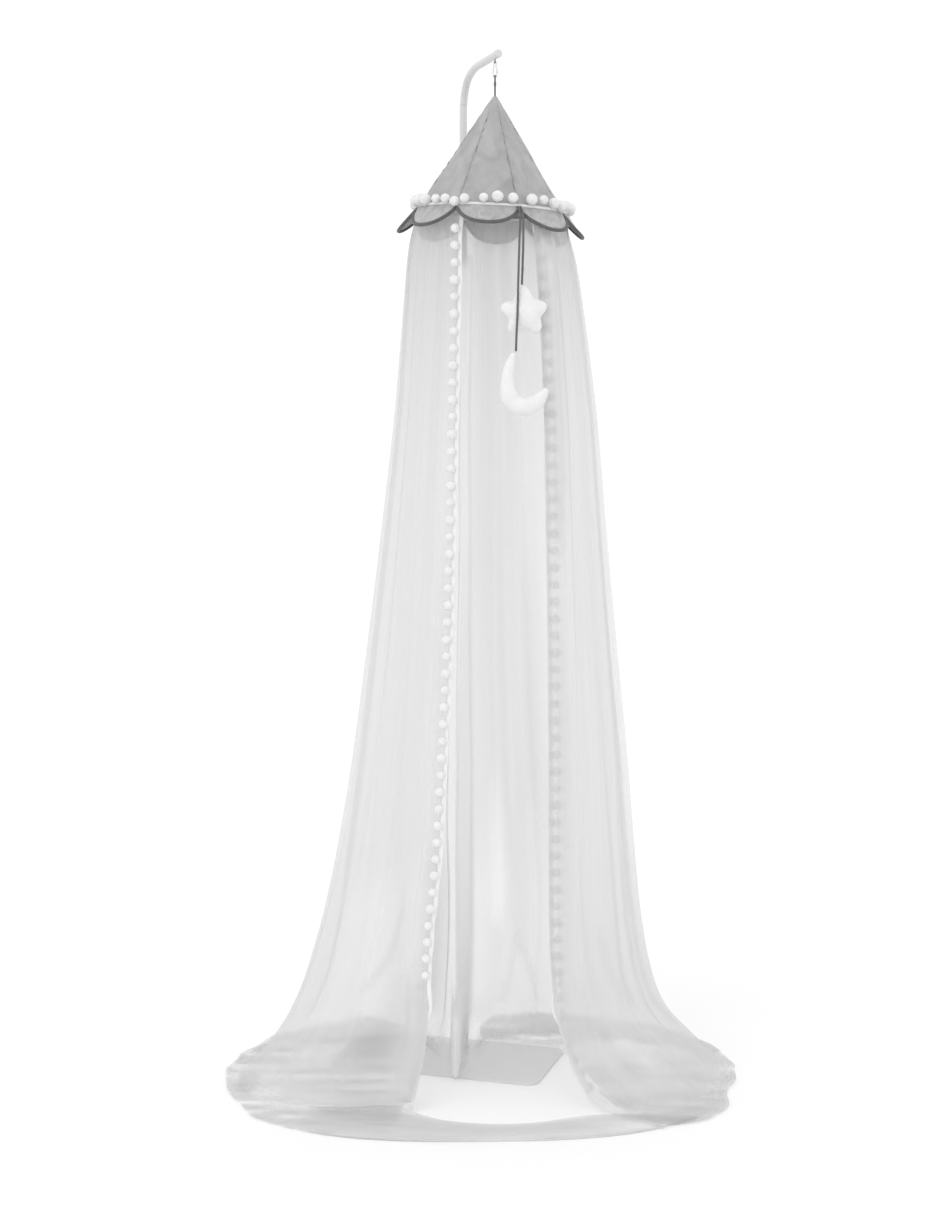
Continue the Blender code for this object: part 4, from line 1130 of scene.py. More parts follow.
@dataclass
class Roof:
    """Eight gores on a hoop, with their valance flaps and the pompom trim round the foot."""

    peak_z: float = 1.750
    ring_r: float = 0.131
    gores: int = 8
    seam_start: float = -26.0
    cloth: float = 0.0014
    hoop_r: float = 0.1252
    hoop_wire: float = 0.0024
    valance_r: float = 0.1340
    valance_top: float = 0.0014
    piping_r: float = 0.0031
    flaps: tuple = ((0.0325, 0.024), (0.0275, 0.023), (0.0325, 0.026), (0.0345, 0.023),
                    (0.039, 0.025), (0.036, 0.026), (0.039, 0.028), (0.036, 0.027))
    tape_r: float = 0.1348
    pompom_out: float = 0.1395
    pompom_rise: float = 0.0088
    pompoms: tuple = (
        # degrees round the foot, the radius, and how far over the others it sits
        (-70, 0.0098, 0.0), (-62, 0.0104, 0.001), (-54, 0.0098, 0.0), (-43, 0.0080, 0.0),
        (-34.5, 0.0084, 0.0),
        (-27, 0.0088, -0.005), (-19.5, 0.0084, 0.0), (-6, 0.0080, 0.002), (3.6, 0.0100, 0.005),
        (14.4, 0.0090, 0.0038), (28.5, 0.0100, 0.0038), (38.4, 0.0082, 0.0055), (49, 0.0098, 0.002),
        (57, 0.0106, 0.0), (65, 0.0096, 0.002), (76, 0.0102, 0.0), (98, 0.0092, 0.001), (112, 0.0096, 0.0),
        (131, 0.0102, 0.001), (150, 0.0095, 0.0), (169, 0.0101, 0.001), (188, 0.0097, 0.0),
        (207, 0.0102, 0.001),
        (226, 0.0094, 0.0), (240, 0.0096, 0.0), (256, 0.0080, 0.0))
    rough: SoftNoise = field(default_factory=lambda: SoftNoise(11))

    def build(self) -> None:
        """Makes and dresses every piece of the roof."""
        for index in range(self.gores):
            gore = self.gore(index)
            finish_piece(gore, COTTON, [f"roof_gore_{index + 1}"])
        finish_piece(self.hoop(), STEEL, ["roof_hoop"])
        for index in range(self.gores):
            flap = self.flap(index)
            piping = self.piping(index)
            finish_piece(flap, FLAP_COTTON, [f"valance_flap_{index + 1}"])
            finish_piece(piping, PIPING, [f"valance_piping_{index + 1}"])
        finish_piece(self.trim(), WOOL, ["ring_pompom_trim"])

    def gore(self, index: int) -> Thing:
        """One gore with its puckered seams.

        Args:
            index: From 0, counted from the front to the right.

        Returns:
            The gore, with the distance to its nearer seam stored as seam.
        """
        rows, columns = 72, 28
        start = self.seam_start + 360.0 / self.gores * index
        across = np.linspace(0.0, 1.0, columns + 1)[None, :]
        share = np.linspace(0.0, 1.0, rows + 1)[:, None]
        azimuth = start + 0.02 + (360.0 / self.gores - 0.04) * across
        foot = RING.point(azimuth, self.ring_r + 0.0016)
        turn = np.radians(azimuth)
        top_r = 0.0036
        high = np.full_like(turn, self.peak_z + 0.0005)
        top = np.stack([top_r * np.sin(turn), -top_r * np.cos(turn), high],
                       axis=-1)
        points = top * (1 - share[..., None]) + foot * share[..., None]
        slant = unit(foot - top)
        around = np.stack([np.cos(turn), np.sin(turn), np.zeros_like(turn)], axis=-1)
        out = np.cross(slant, around)
        out = np.where(out[..., 2:3] < 0, -out, out)
        width = 2 * math.pi * (top_r + (self.ring_r - top_r) * share) / self.gores
        seam = np.minimum(across, 1 - across) * width
        run = share * 0.236
        lift = -0.0036 * share * np.sin(math.pi * across) * np.sin(math.pi * np.minimum(share * 0.9, 0.9))
        pucker = self.rough.at(run / 0.0075 + 9.0 * index, np.where(across < 0.5, 3.0, 7.0) + across * 0)
        lift += 0.0012 * pucker * np.exp(-seam / 0.0065) * eased(share * 5)
        sag = self.rough.at(run / 0.034 + 5.3 * index, across * 2.6 + 11.0)
        lift += 0.0014 * sag * eased(seam / 0.012)
        lift = lift - 0.0003 * bell(seam, 0.0, 0.0011)
        points = points + out * lift[..., None]
        spots = np.stack(np.broadcast_arrays((across - 0.5) * width, run), axis=-1)
        piece = grid_piece(f"roof_panel_{index + 1}", points, spots, flip=True)
        lay_value(piece, "seam", seam)
        return apply_modifier(piece, "SOLIDIFY", thickness=self.cloth * 0.8, offset=-1.0)

    def hoop(self) -> Thing:
        """Plain wire hoop in the roof's foot."""
        azimuth = np.arange(96) * 360.0 / 96
        return tube_piece("roof_wire_hoop", RING.point(azimuth, self.hoop_r), self.hoop_wire, 12, closed=True)

    def flap_place(self, index: int, across: np.ndarray, down: np.ndarray, out: float = 0.0) -> np.ndarray:
        """Points on a valance flap.

        Args:
            index: Which flap, from 0.
            across: From 0 at its left seam to 1 at its right one.
            down: 0 at its seam, 1 at its curved edge.
            out: How far out of the cloth's middle.

        Returns:
            One row of three numbers per place.
        """
        drop, flare = self.flaps[index]
        start = self.seam_start - 360.0 / self.gores + 360.0 / self.gores * index
        azimuth = start + 0.7 + (360.0 / self.gores - 1.4) * across
        curve = (1 - np.abs(2 * across - 1) ** 2.2) ** 0.80
        depth = curve * down
        sway = 0.0016 * self.rough.at(across * 3.1 + 4.7 * index, down * 1.4 + 21.0) * depth
        radius = self.valance_r + flare * depth ** 1.15 + out + sway
        return RING.point(azimuth, radius, -self.valance_top - drop * depth)

    def flap(self, index: int) -> Thing:
        """One scalloped flap, flaring outward."""
        rows, columns = 14, 56
        across = (0.5 - 0.5 * np.cos(math.pi * (0.02 + 0.96 * np.linspace(0, 1, columns + 1))))[None, :]
        down = np.linspace(0.0, 1.0, rows + 1)[:, None]
        points = self.flap_place(index, across, down)
        run = run_along(points)
        spots = np.stack(np.broadcast_arrays(across * 0.104, run), axis=-1)
        piece = grid_piece(f"valance_scallop_{index + 1}", points, spots, flip=True)
        lay_value(piece, "seam", 0.004 + run[-1:] - run)
        return apply_modifier(piece, "SOLIDIFY", thickness=self.cloth * 0.8, offset=1.0)

    def piping(self, index: int) -> Thing:
        """Dark piping along a flap's curved edge."""
        count = 80
        across = 0.5 - 0.5 * np.cos(math.pi * (0.040 + 0.92 * np.linspace(0, 1, count)))
        edge, seam = (self.flap_place(index, across, np.full(count, down), self.cloth * 0.4)
                      for down in (1.0, 0.0))
        hub = self.flap_place(index, np.array([0.5]), np.array([0.3]), self.cloth * 0.4)
        path = edge + unit(unit(edge - seam) * 0.55 + unit(edge - hub) * 0.45) * self.piping_r * 0.9
        run = np.linspace(0, 1, count)
        swell = 0.55 + 0.45 * eased(np.minimum(run, 1 - run) / 0.06)
        length = float(np.linalg.norm(np.diff(path, axis=0), axis=1).sum())
        return tube_piece(f"scallop_piping_{index + 1}", path, lambda at, turns: np.full(
            len(turns), self.piping_r * np.interp(at / length, run, swell)), 10)

    def trim(self) -> Thing:
        """Tape with its pompoms round the foot."""
        azimuth = np.arange(120) * 360.0 / 120
        around = len(azimuth)
        section = ((-0.0009, -0.0010), (0.0007, -0.0010), (0.0009, 0.0012), (0.0007, 0.0036),
                   (-0.0009, 0.0036))
        rings = np.stack([RING.point(azimuth, self.tape_r + out, rise) for out, rise in section], axis=1)
        sides = len(section)
        faces = [(i * sides + j, i * sides + (j + 1) % sides, n * sides + (j + 1) % sides, n * sides + j)
                 for i, n in ((i, (i + 1) % around) for i in range(around)) for j in range(sides)]
        tape = mesh_piece("ring_tape", rings, faces)
        centres = [RING.point(a, self.pompom_out, self.pompom_rise + over) for a, _, over in self.pompoms]
        sizes = [size for _, size, _ in self.pompoms]
        balls = pompom_piece("ring_balls", centres, sizes, detail=4)
        return join_pieces("ring_pompom_trimming", [tape, balls])


def pompom_piece(name: str, centres: Sequence, sizes: Sequence[float], detail: int,
                 feet: Optional[Sequence] = None) -> Thing:
    """Makes a row of fluffy pompoms: one is shaped, then copied and turned.

    Args:
        name: The piece's name.
        centres: Their middles.
        sizes: Their radii.
        detail: How finely the first is divided.
        feet: Where each is sewn on, or None.

    Returns:
        All of them as one piece.
    """
    clear_selection()
    bpy.ops.mesh.primitive_ico_sphere_add(subdivisions=detail, radius=1.0)
    seed = bpy.context.object
    shape = np.array([v.co for v in seed.data.vertices])
    loops = np.array([tuple(p.vertices) for p in seed.data.polygons])
    bpy.data.objects.remove(seed, do_unlink=True)
    tufts = SoftNoise(29)
    x, y, z = shape.T
    rough = 0.5 * tufts.at(x * 5.1 + z * 3.3 + 9, y * 5.7 + z * 2.9 + 9)
    rough += 0.5 * tufts.at(x * 9.7 + 31, (y + z) * 8.9 + 31)
    shape = shape * (0.955 + 0.085 * rough)[:, None]
    points, faces = [], []
    for k, (centre, size) in enumerate(zip(centres, sizes)):
        turn = Matrix.Rotation(1.7 * k, 3, "Z") @ Matrix.Rotation(0.9 * k + 0.4, 3, "X")
        ball = shape @ np.array(turn).T * size
        if feet is not None:
            way = np.asarray(feet[k]) - np.asarray(centre)
            far = float(np.linalg.norm(way))
            toward = np.clip((ball @ (way / far)) / size, 0.0, 1.0) ** 6
            ball = ball + (way - ball) * toward[:, None] * 0.75
        faces.append(loops + len(shape) * k)
        points.append(ball + np.asarray(centre))
    piece = mesh_piece(name, np.concatenate(points), np.concatenate(faces).tolist())
    lay_uv(piece, np.concatenate(points)[:, :2])
    return piece


# The net


@dataclass
class NetShape:
    """The net's surface: u runs along the hem from the left front edge round to the right one,
    and t from the hoop down to the hem."""

    levels: tuple = (
        # height, the radii to the left, right, front and back, fold depth, share of the pool, height in
        # the pleat, the two front edges in degrees from the front, and how far those edges tuck in
        (1.5500, 0.1250, 0.1250, 0.1250, 0.1250, 0.0006, 0.0, 1.550, -25.4, 34.0, 0.00),
        (1.5150, 0.1380, 0.1340, 0.1320, 0.1320, 0.0030, 0.0, 1.515, -25.0, 34.0, 0.00),
        (1.4650, 0.1470, 0.1450, 0.1380, 0.1370, 0.0042, 0.0, 1.465, -24.5, 34.0, 0.00),
        (1.3600, 0.1570, 0.1580, 0.1480, 0.1440, 0.0050, 0.0, 1.360, -24.4, 33.5, 0.00),
        (1.1900, 0.1740, 0.1750, 0.1590, 0.1540, 0.0060, 0.0, 1.190, -25.0, 32.5, 0.00),
        (0.9900, 0.1970, 0.1910, 0.1700, 0.1640, 0.0075, 0.0, 0.990, -24.9, 31.5, 0.00),
        (0.7900, 0.2220, 0.2090, 0.1800, 0.1800, 0.0090, 0.0, 0.790, -25.1, 30.5, 0.00),
        (0.6000, 0.2480, 0.2270, 0.1880, 0.1960, 0.0105, 0.0, 0.600, -26.8, 29.5, 0.00),
        (0.4400, 0.2755, 0.2390, 0.1960, 0.2120, 0.0120, 0.0, 0.440, -28.8, 29.0, 0.02),
        (0.3200, 0.3030, 0.2500, 0.2030, 0.2160, 0.0130, 0.0, 0.325, -31.8, 29.0, 0.04),
        (0.2200, 0.3325, 0.2665, 0.2100, 0.2180, 0.0140, 0.0, 0.235, -33.5, 31.0, 0.09),
        (0.1450, 0.3600, 0.2930, 0.2160, 0.2200, 0.0140, 0.0, 0.165, -34.4, 34.0, 0.15),
        (0.0880, 0.3900, 0.3430, 0.2220, 0.2230, 0.0130, 0.0, 0.115, -36.4, 38.0, 0.19),
        (0.0450, 0.4210, 0.3900, 0.2270, 0.2280, 0.0100, 0.0, 0.077, -38.6, 42.5, 0.22),
        (0.0130, 0.4480, 0.4160, 0.2360, 0.2400, 0.0070, 0.0, 0.046, -39.4, 46.0, 0.23),
        (0.0008, 0.4640, 0.4320, 0.2500, 0.2640, 0.0045, 0.22, 0.030, -38.0, 47.0, 0.22),
        (0.0008, 0.4710, 0.4380, 0.2680, 0.3040, 0.0035, 0.48, 0.023, -34.0, 47.6, 0.19),
        (0.0008, 0.4780, 0.4440, 0.2900, 0.3500, 0.0030, 0.74, 0.017, -34.0, 48.0, 0.13),
        (0.0008, 0.4850, 0.4500, 0.3140, 0.3960, 0.0030, 1.00, 0.011, -34.0, 48.5, 0.05),
    )
    pleat_tips: tuple = (
        # height, x and y of the pleat's inner line in front of the pole
        (1.600, -0.0420, 0.1250), (1.300, -0.0480, 0.1340), (1.000, -0.0560, 0.1300),
        (0.800, -0.0640, 0.1180), (0.600, -0.0700, 0.1000), (0.400, -0.0730, 0.0800),
        (0.200, -0.0730, 0.0460), (0.070, -0.0715, 0.0150),
        (0.000, -0.0690, -0.0260),
    )
    folds: int = 20
    pleat_u: float = 0.470
    pleat_half: float = 0.062
    pleat_back: float = 0.240
    flap_u: float = 0.080
    flap_reach: float = 95.0
    flap_inner: float = 0.236
    floor_lift: float = 0.0086
    under_lift: float = 0.0068
    inner_line: tuple = (
        # place along the cloth, x and y of the hem's own line where it lies inside on the floor
        (0.085, -0.178, -0.262), (0.110, -0.166, -0.200), (0.150, -0.160, -0.120), (0.200, -0.158, -0.040),
        (0.260, -0.160, 0.030), (0.330, -0.166, 0.085), (0.400, -0.146, 0.130), (0.440, -0.096, 0.158),
        (0.500, -0.020, 0.200), (0.560, 0.050, 0.192), (0.640, 0.125, 0.172), (0.720, 0.156, 0.110),
        (0.800, 0.176, 0.020), (0.880, 0.190, -0.070), (0.940, 0.208, -0.130), (1.000, 0.228, -0.172),
    )
    gathers: tuple = (
        # broad soft folds: t and u where each starts and ends, its half width in u and how much it adds
        (0.28, 0.408, 0.48, 0.404, 0.013, 0.3), (0.48, 0.404, 0.70, 0.398, 0.016, 1.4),
        (0.26, 0.536, 0.56, 0.541, 0.011, 0.6), (0.56, 0.541, 0.67, 0.527, 0.006, 0.6),
        (0.56, 0.541, 0.67, 0.582, 0.006, 0.6), (0.30, 0.578, 0.42, 0.574, 0.014, 0.4),
        (0.42, 0.519, 0.54, 0.517, 0.006, -0.6), (0.50, 0.498, 0.66, 0.500, 0.012, -0.3),
        (0.34, 0.985, 0.66, 0.980, 0.012, 0.9), (0.10, 0.045, 0.46, 0.062, 0.012, 0.35),
        (0.12, 0.120, 0.60, 0.132, 0.016, 0.30), (0.46, 0.030, 0.66, 0.022, 0.010, -0.35),
        (0.10, 0.905, 0.50, 0.900, 0.013, 0.35), (0.44, 0.955, 0.62, 0.930, 0.008, 0.6),
        (0.50, 0.900, 0.70, 0.872, 0.014, 0.5), (0.52, 0.355, 0.64, 0.318, 0.005, 0.9),
        (0.54, 0.690, 0.66, 0.712, 0.006, 0.7), (0.56, 0.020, 0.74, 0.016, 0.017, 1.9),
        (0.54, 0.064, 0.66, 0.058, 0.016, -0.45), (0.50, 0.310, 0.70, 0.300, 0.045, -0.60),
        (0.10, 0.987, 0.27, 0.987, 0.010, 1.8), (0.40, 0.541, 0.56, 0.543, 0.014, 0.15),
        (0.30, 0.500, 0.50, 0.502, 0.016, -0.35),
        (0.56, 0.980, 0.80, 0.976, 0.008, -0.45), (0.62, 0.956, 0.76, 0.956, 0.010, 1.8),
        (0.58, 0.940, 0.70, 0.928, 0.016, -0.35), (0.66, 0.900, 0.78, 0.895, 0.010, 1.3),
    )
    floor_marks: tuple = (
        # creased places on the floor: x and y of each, its half sizes and how much it adds
        (-0.235, 0.160, 0.045, 0.050, 1.8), (-0.260, 0.045, 0.090, 0.012, 1.8),
        (-0.235, -0.012, 0.085, 0.010, 1.7), (-0.215, -0.062, 0.080, 0.011, 1.7),
        (-0.240, 0.084, 0.070, 0.012, -0.3), (-0.235, 0.016, 0.080, 0.012, -0.3),
        (0.228, 0.030, 0.030, 0.070, 1.0), (0.255, 0.220, 0.022, 0.060, -0.5),
        (0.290, 0.100, 0.022, 0.060, -0.5), (-0.445, -0.010, 0.014, 0.060, 1.0),
    )
    hem_length: float = 4.0
    back_more: float = 1.05
    broad: SoftNoise = field(default_factory=lambda: SoftNoise(3))
    small: SoftNoise = field(default_factory=lambda: SoftNoise(5, 512))
    crumple: SoftNoise = field(default_factory=lambda: SoftNoise(8))

    def over_plate(self, x: np.ndarray, y: np.ndarray) -> np.ndarray:
        """How far places lie over the base plate: 1 inside, falling to 0 outside."""
        turn = math.radians(-PLATE_TURN)
        dx, dy = x - PLATE_CENTRE[0], y - PLATE_CENTRE[1]
        along = np.abs(dx * math.cos(turn) - dy * math.sin(turn)) - PLATE_SIZE[0] / 2
        across = np.abs(dx * math.sin(turn) + dy * math.cos(turn)) - PLATE_SIZE[1] / 2
        return eased(1.0 - (np.maximum(along, across) - 0.016) / 0.030)

    def pleat_share(self, u: np.ndarray) -> np.ndarray:
        """How much of the pleat round the pole places along the cloth take."""
        away = np.abs(u - self.pleat_u) / self.pleat_half
        value = np.clip(1.10 - np.sqrt(away * away + 0.012), 0.0, 1.0)
        value = np.where(value < 0.35, value * value * (1.6 - 0.6 * value), value - 0.10 * (1 - value))
        return np.where(away >= 1.25, 0.0, value)

    def tip(self, high: float) -> np.ndarray:
        """The pleat's inner line at a height."""
        heights = [-row[0] for row in self.pleat_tips]
        return np.array([np.interp(-high, heights, [row[k] for row in self.pleat_tips]) for k in (1, 2)])

    def base(self, u: np.ndarray, row: np.ndarray, back: np.ndarray, share: np.ndarray) -> tuple:
        """The net's line at one level before its pleat.

        Args:
            u: Places along the cloth.
            row: The level's values.
            back: The back radius at each place.
            share: The pleat's share at each place.

        Returns:
            The places, their outward ways and the fold wave, each per u.
        """
        z, left, right, front, _, fold, pool, _, edge_1, edge_2, tuck = row
        warp = 0.0050 * np.sin(2 * math.pi * 5 * u + 0.6) + 0.0035 * np.sin(2 * math.pi * 9 * u + 2.0)
        warp = u + warp * np.sin(math.pi * u)
        azimuth = edge_1 + (edge_2 - 360.0 - edge_1) * warp
        flap = np.clip(1.0 - u / self.flap_u, 0.0, 1.0) if pool > 0.0 else np.zeros_like(u)
        azimuth = azimuth + self.flap_reach * flap ** 1.4 * max(pool, 0.0) ** 0.9
        s, c = np.sin(np.radians(azimuth)), np.cos(np.radians(azimuth))
        power = 2.0 + 0.45 * clipped((0.16 - z) / 0.16)
        wide = np.where(s > 0, right, left)
        deep = np.where(c > 0, front, back)
        radius = (np.abs(s / wide) ** power + np.abs(c / deep) ** power) ** (-1.0 / power)
        radius = radius * (1.0 - tuck * (bell(u, 0.0, 0.050) + np.exp(-((1.0 - u) / 0.060) ** 2)))
        spread = max(pool, 0.0) ** (1.0 + 5.0 * flap) * (1.0 - 0.05 * flap ** 3)
        pulled = radius + (self.flap_inner + (radius - self.flap_inner) * spread - radius) * flap ** 0.6
        radius = np.where(flap > 0.0, pulled, radius)
        dent = 0.009 * bell(u, 0.225, 0.025) - 0.015 * bell(u, 0.150, 0.030)
        dent = dent - 0.030 * bell(u, 0.885, 0.036)
        radius = radius + dent * float(eased((0.12 - z) / 0.11))
        calm = np.clip(np.minimum(u, 1.0 - u) / 0.030, 0.0, 1.0) ** 1.5
        uneven = 0.62 + 0.26 * np.sin(2 * math.pi * 4 * u + 1.0) + 0.22 * np.sin(2 * math.pi * 7 * u + 2.4)
        wave = np.sin(2 * math.pi * self.folds * u) * calm * uneven
        out = fold * wave * (1.0 - 0.8 * flap) * (1.0 - 0.5 * share)
        shift = RING.centre_x * clipped((z - 1.2) / 0.3)
        ways = unit(np.stack([s / wide, -c / deep], axis=-1))
        spots = np.stack([s * radius + shift, -c * radius], axis=-1) + ways * out[:, None]
        return spots, ways, wave

    def surface(self, u: np.ndarray, t: float, fine: bool = True) -> np.ndarray:
        """Points on the net at one t.

        Args:
            u: Places along the cloth.
            t: From 0 at the hoop to 1 at the hem.
            fine: Whether the small folds and crumples are added.

        Returns:
            One row of three numbers per place.
        """
        u = np.asarray(u, float)
        row = curve_through(self.levels, t)
        share = self.pleat_share(u)
        back = row[4] + (min(row[4], self.pleat_back) - row[4]) * np.minimum(share * 1.6, 1.0) ** 0.7
        place, ways, wave = self.base(u, row, back, share)
        z = np.full_like(u, max(row[0], 0.0008))
        if row[0] < 0.06:
            near = min((0.06 - row[0]) / 0.05, 1.0)
            ends = np.clip(np.minimum((u - self.flap_u) / 0.05, (1 - u) / 0.04), 0.0, 1.0)
            z = z + 0.006 * near * (1.0 - 0.8 * row[6]) * np.maximum(wave, 0.0) ** 1.5 * ends
        if fine:
            step, lift = self.small_folds(u, t, row[0])
            step = step * (1.0 - 0.8 * share * float(eased((0.60 - row[0]) / 0.3)))
            out, beyond = self.rolled_edge(u, row[0])
            across = np.stack([ways[:, 1], -ways[:, 0]], axis=-1)
            place = place + ways * (step + out)[:, None] + across * beyond[:, None]
            z = z + lift + 0.0050 * min(max(row[6], 0.0) * 4.0, 1.0) * (1.0 - 0.5 * row[6])
        kept = row.copy()
        kept[4] = min(row[4], self.pleat_back)
        at = np.array([self.pleat_u])
        middle = self.base(at, kept, kept[4:5], self.pleat_share(at))[0][0]
        high = float(row[7])
        start = clipped((1.50 - high) / 0.25)
        place = place + (self.tip(high) - middle) * (share * start)[:, None]
        z = np.where(share > 0.0, z + (high - z) * np.minimum(share * 1.4, 1.0), z)
        top = RING.level(place[:, 0], place[:, 1]) - RING.height
        z = z + top * np.clip((z - 0.9) / 0.6, 0.0, 1.0)
        low = 0.0008 + self.floor_lift * self.over_plate(place[:, 0], place[:, 1])
        z = np.where(z < 0.03, np.maximum(z, low), z)
        return np.column_stack([place, z])

    def small_folds(self, u: np.ndarray, t: float, z: float) -> tuple:
        """The folds and crumples finer than the main ones.

        Args:
            u: Places along the cloth.
            t: How far down the cloth.
            z: The level's height.

        Returns:
            How far each place moves out of the cloth, and how far up.
        """
        calm = np.clip(np.minimum(u, 1.0 - u) / 0.014, 0.0, 1.0)
        top = clipped((z - 1.25) / 0.30)
        foot = clipped((0.55 - z) / 0.50)
        step = (0.0024 + 0.0046 * foot) * self.broad.at(u * 46.0, t * 3.4)
        step += (0.0003 + 0.0007 * top) * self.small.at(u * 130.0 + 7.0, t * 2.4 + 5.0)
        low = clipped((0.05 - z) / 0.05)
        lift = 0.0030 * low * self.wrinkle(u * 8.0, t * 9.0)
        return step * calm * (1.0 - 0.75 * low), lift * np.clip(np.minimum(u, 1 - u) / 0.03, 0.0, 1.0)

    def wrinkle(self, x: np.ndarray, y: Union[float, np.ndarray]) -> np.ndarray:
        """Narrow crumpled ridges, from 0 between them to 1 on them."""
        ridge = 1.0 - np.abs(self.crumple.at(x + 4.0, y))
        return (np.clip(ridge - 0.55, 0.0, 1.0) / 0.45) ** 2

    def rolled_edge(self, u: np.ndarray, z: float) -> tuple:
        """The right front edge rolled round its pompoms: how far out, and how far past the edge."""
        near = 1.0 - u
        cover = float(eased((z - 0.10) / 0.16)) * float(eased((1.545 - z) / 0.05))
        out = 0.0220 * eased((0.046 - near) / 0.022)
        out = out * np.where(near < 0.006, 0.16 + 0.84 * eased(near / 0.006), 1.0)
        beyond = 0.0095 * (1.0 - eased((near - 0.004) / 0.014))
        return out * cover, beyond * cover

    def tucked(self, u: np.ndarray, share: float) -> np.ndarray:
        """The rest of the cloth, turned in under itself on the floor.

        Args:
            u: Places along the cloth.
            share: 0 at the outer turn, 1 at the hem's own line.

        Returns:
            One row of three numbers per place.
        """
        rim = self.surface(u, 1.0)
        table = np.array(self.inner_line)
        inner = np.stack([np.interp(u, table[:, 0], table[:, k]) for k in (1, 2)], axis=-1)
        sway = np.stack([self.broad.at(u * 26.0, 60.0), self.broad.at(u * 26.0, 70.0)], axis=-1)
        inner = inner + 0.004 * sway
        reach = eased((u - 0.062) / 0.030) * eased((np.abs(u - self.pleat_u) - 0.030) / 0.030)
        reach = share * (0.04 + 0.96 * reach)
        place = rim[:, :2] + (inner - rim[:, :2]) * reach[:, None]
        span = np.linalg.norm(inner - rim[:, :2], axis=1) * share
        lift = 0.0022 * self.wrinkle(u * 8.0, 30.0 + span * 12.0) * math.sin(math.pi * min(share * 1.2, 1.0))
        low = 0.0005 + self.under_lift * self.over_plate(place[:, 0], place[:, 1])
        return np.column_stack([place, low + lift])

    def layers(self, u: np.ndarray, t: float) -> np.ndarray:
        """How many layers of cloth each place looks like, from its gathers, folds and hems."""
        row = curve_through(self.levels, t)
        z = row[0]
        value = np.interp(-z, (-1.55, -1.50, -1.40, -1.25, -1.10, -0.50, -0.28, -0.10, -0.03, 0.0),
                          (1.8, 1.55, 1.20, 1.02, 0.93, 0.95, 0.95, 1.00, 0.90, 0.72))
        centre = bell(u, 0.552, 0.072, 4)
        hangs = float(np.interp(z, (0.10, 0.30, 0.50, 1.30, 1.50), (0.0, 0.4, 1.0, 1.0, 0.6)))
        value = value * (1.0 + self.back_more * centre * hangs)
        turns = bell(u, 0.198, 0.028) + bell(u, 0.812, 0.028)
        value = value * (1.0 - 0.35 * float(eased((z - 0.25) / 0.3)) * turns)
        value += 0.16 * self.broad.at(u * 15.0, t * 2.4 + 50.0)
        value += self.gathered(u, t)
        low = clipped((0.03 - z) / 0.03)
        value += 0.30 * low * self.wrinkle(u * 8.0, t * 9.0)
        heights = (0.03, 0.08, 0.22, 0.40, 0.57, 0.73, 0.91, 1.09, 1.27, 1.38)
        middle = float(np.interp(z, heights[4:], (0.4835, 0.4785, 0.472, 0.460, 0.454, 0.446)))
        half = float(np.interp(z, heights[4:8], (0.0095, 0.0115, 0.0145, 0.0210)))
        more = float(np.interp(z, heights[:5], (1.2, 2.2, 2.7, 3.2, 3.6))) * float(eased((1.50 - z) / 0.06))
        value += more * bell(u, middle, half, 4)
        low_front = eased((self.flap_u + 0.01 - u) / 0.02)
        value += low_front * float(eased((t - 0.78) / 0.06)) * (1.30 - 0.2 * bell(u, 0.0, 0.02))
        value = value * (1.0 - 0.5 * math.exp(-((t - 0.775) / 0.018) ** 2) * eased((0.15 - u) / 0.04))
        value = value * (1.0 - 0.45 * math.exp(-((1.0 - t) / 0.018) ** 2))
        value = value * (1.0 - 0.60 * bell(u, 0.0, 0.009) * float(eased((t - 0.86) / 0.05)))
        rim = 0.8 * np.exp(-(np.minimum(u, 1 - u) / 0.0035) ** 2)
        down = float(eased((t - 0.66) / 0.10))
        foot = down * eased((self.pleat_half * 0.70 - np.abs(u - self.pleat_u)) / 0.016)
        strip = self.strip(u, t)
        back = down * bell(u, 0.530, 0.035, 4)
        value = (value + rim) * (1.0 - 0.75 * foot * (1.0 - strip)) * (1.0 - 0.35 * back)
        # The strip's 2.8 extra layers also carry painted light: past 2.4 layers the net's grey is painted
        # lighter, which brightens the shaded inner fold.
        return np.clip(value + 2.8 * strip, 0.05, 6.0)

    def strip(self, u: np.ndarray, t: float) -> np.ndarray:
        """The pleat's closed inner fold low down: 1 on it, 0 beside it."""
        narrow = float(np.interp(t, (0.66, 0.75, 0.90, 1.0), (0.0155, 0.0150, 0.0118, 0.0075)))
        return float(eased((t - 0.60) / 0.10)) * bell(u, 0.4680, narrow, 4)

    def creased(self, spots: np.ndarray) -> np.ndarray:
        """What the creases of the cloth on the floor add to the layers, from places in the plan."""
        x, y = spots[..., 0], spots[..., 1]
        value = 0.42 * self.crumple.at(x / 0.11 + 40.0, y / 0.024 + 40.0)
        value += 0.25 * self.crumple.at(x / 0.05 + 80.0, y / 0.012 + 80.0)
        for at_x, at_y, half_x, half_y, more in self.floor_marks:
            value += more * np.exp(-(((x - at_x) / half_x) ** 2 + ((y - at_y) / half_y) ** 2))
        return value

    def gathered(self, u: np.ndarray, t: float) -> np.ndarray:
        """What the broad soft folds add to the layers at one t."""
        value = np.zeros_like(u)
        for t0, u0, t1, u1, half, more in self.gathers:
            along = (t - t0) / (t1 - t0)
            fade = float(eased((along + 0.18) / 0.30) * eased((1.18 - along) / 0.30))
            middle = u0 + (u1 - u0) * clipped(along)
            value += more * fade * bell(u, middle, half)
        return value


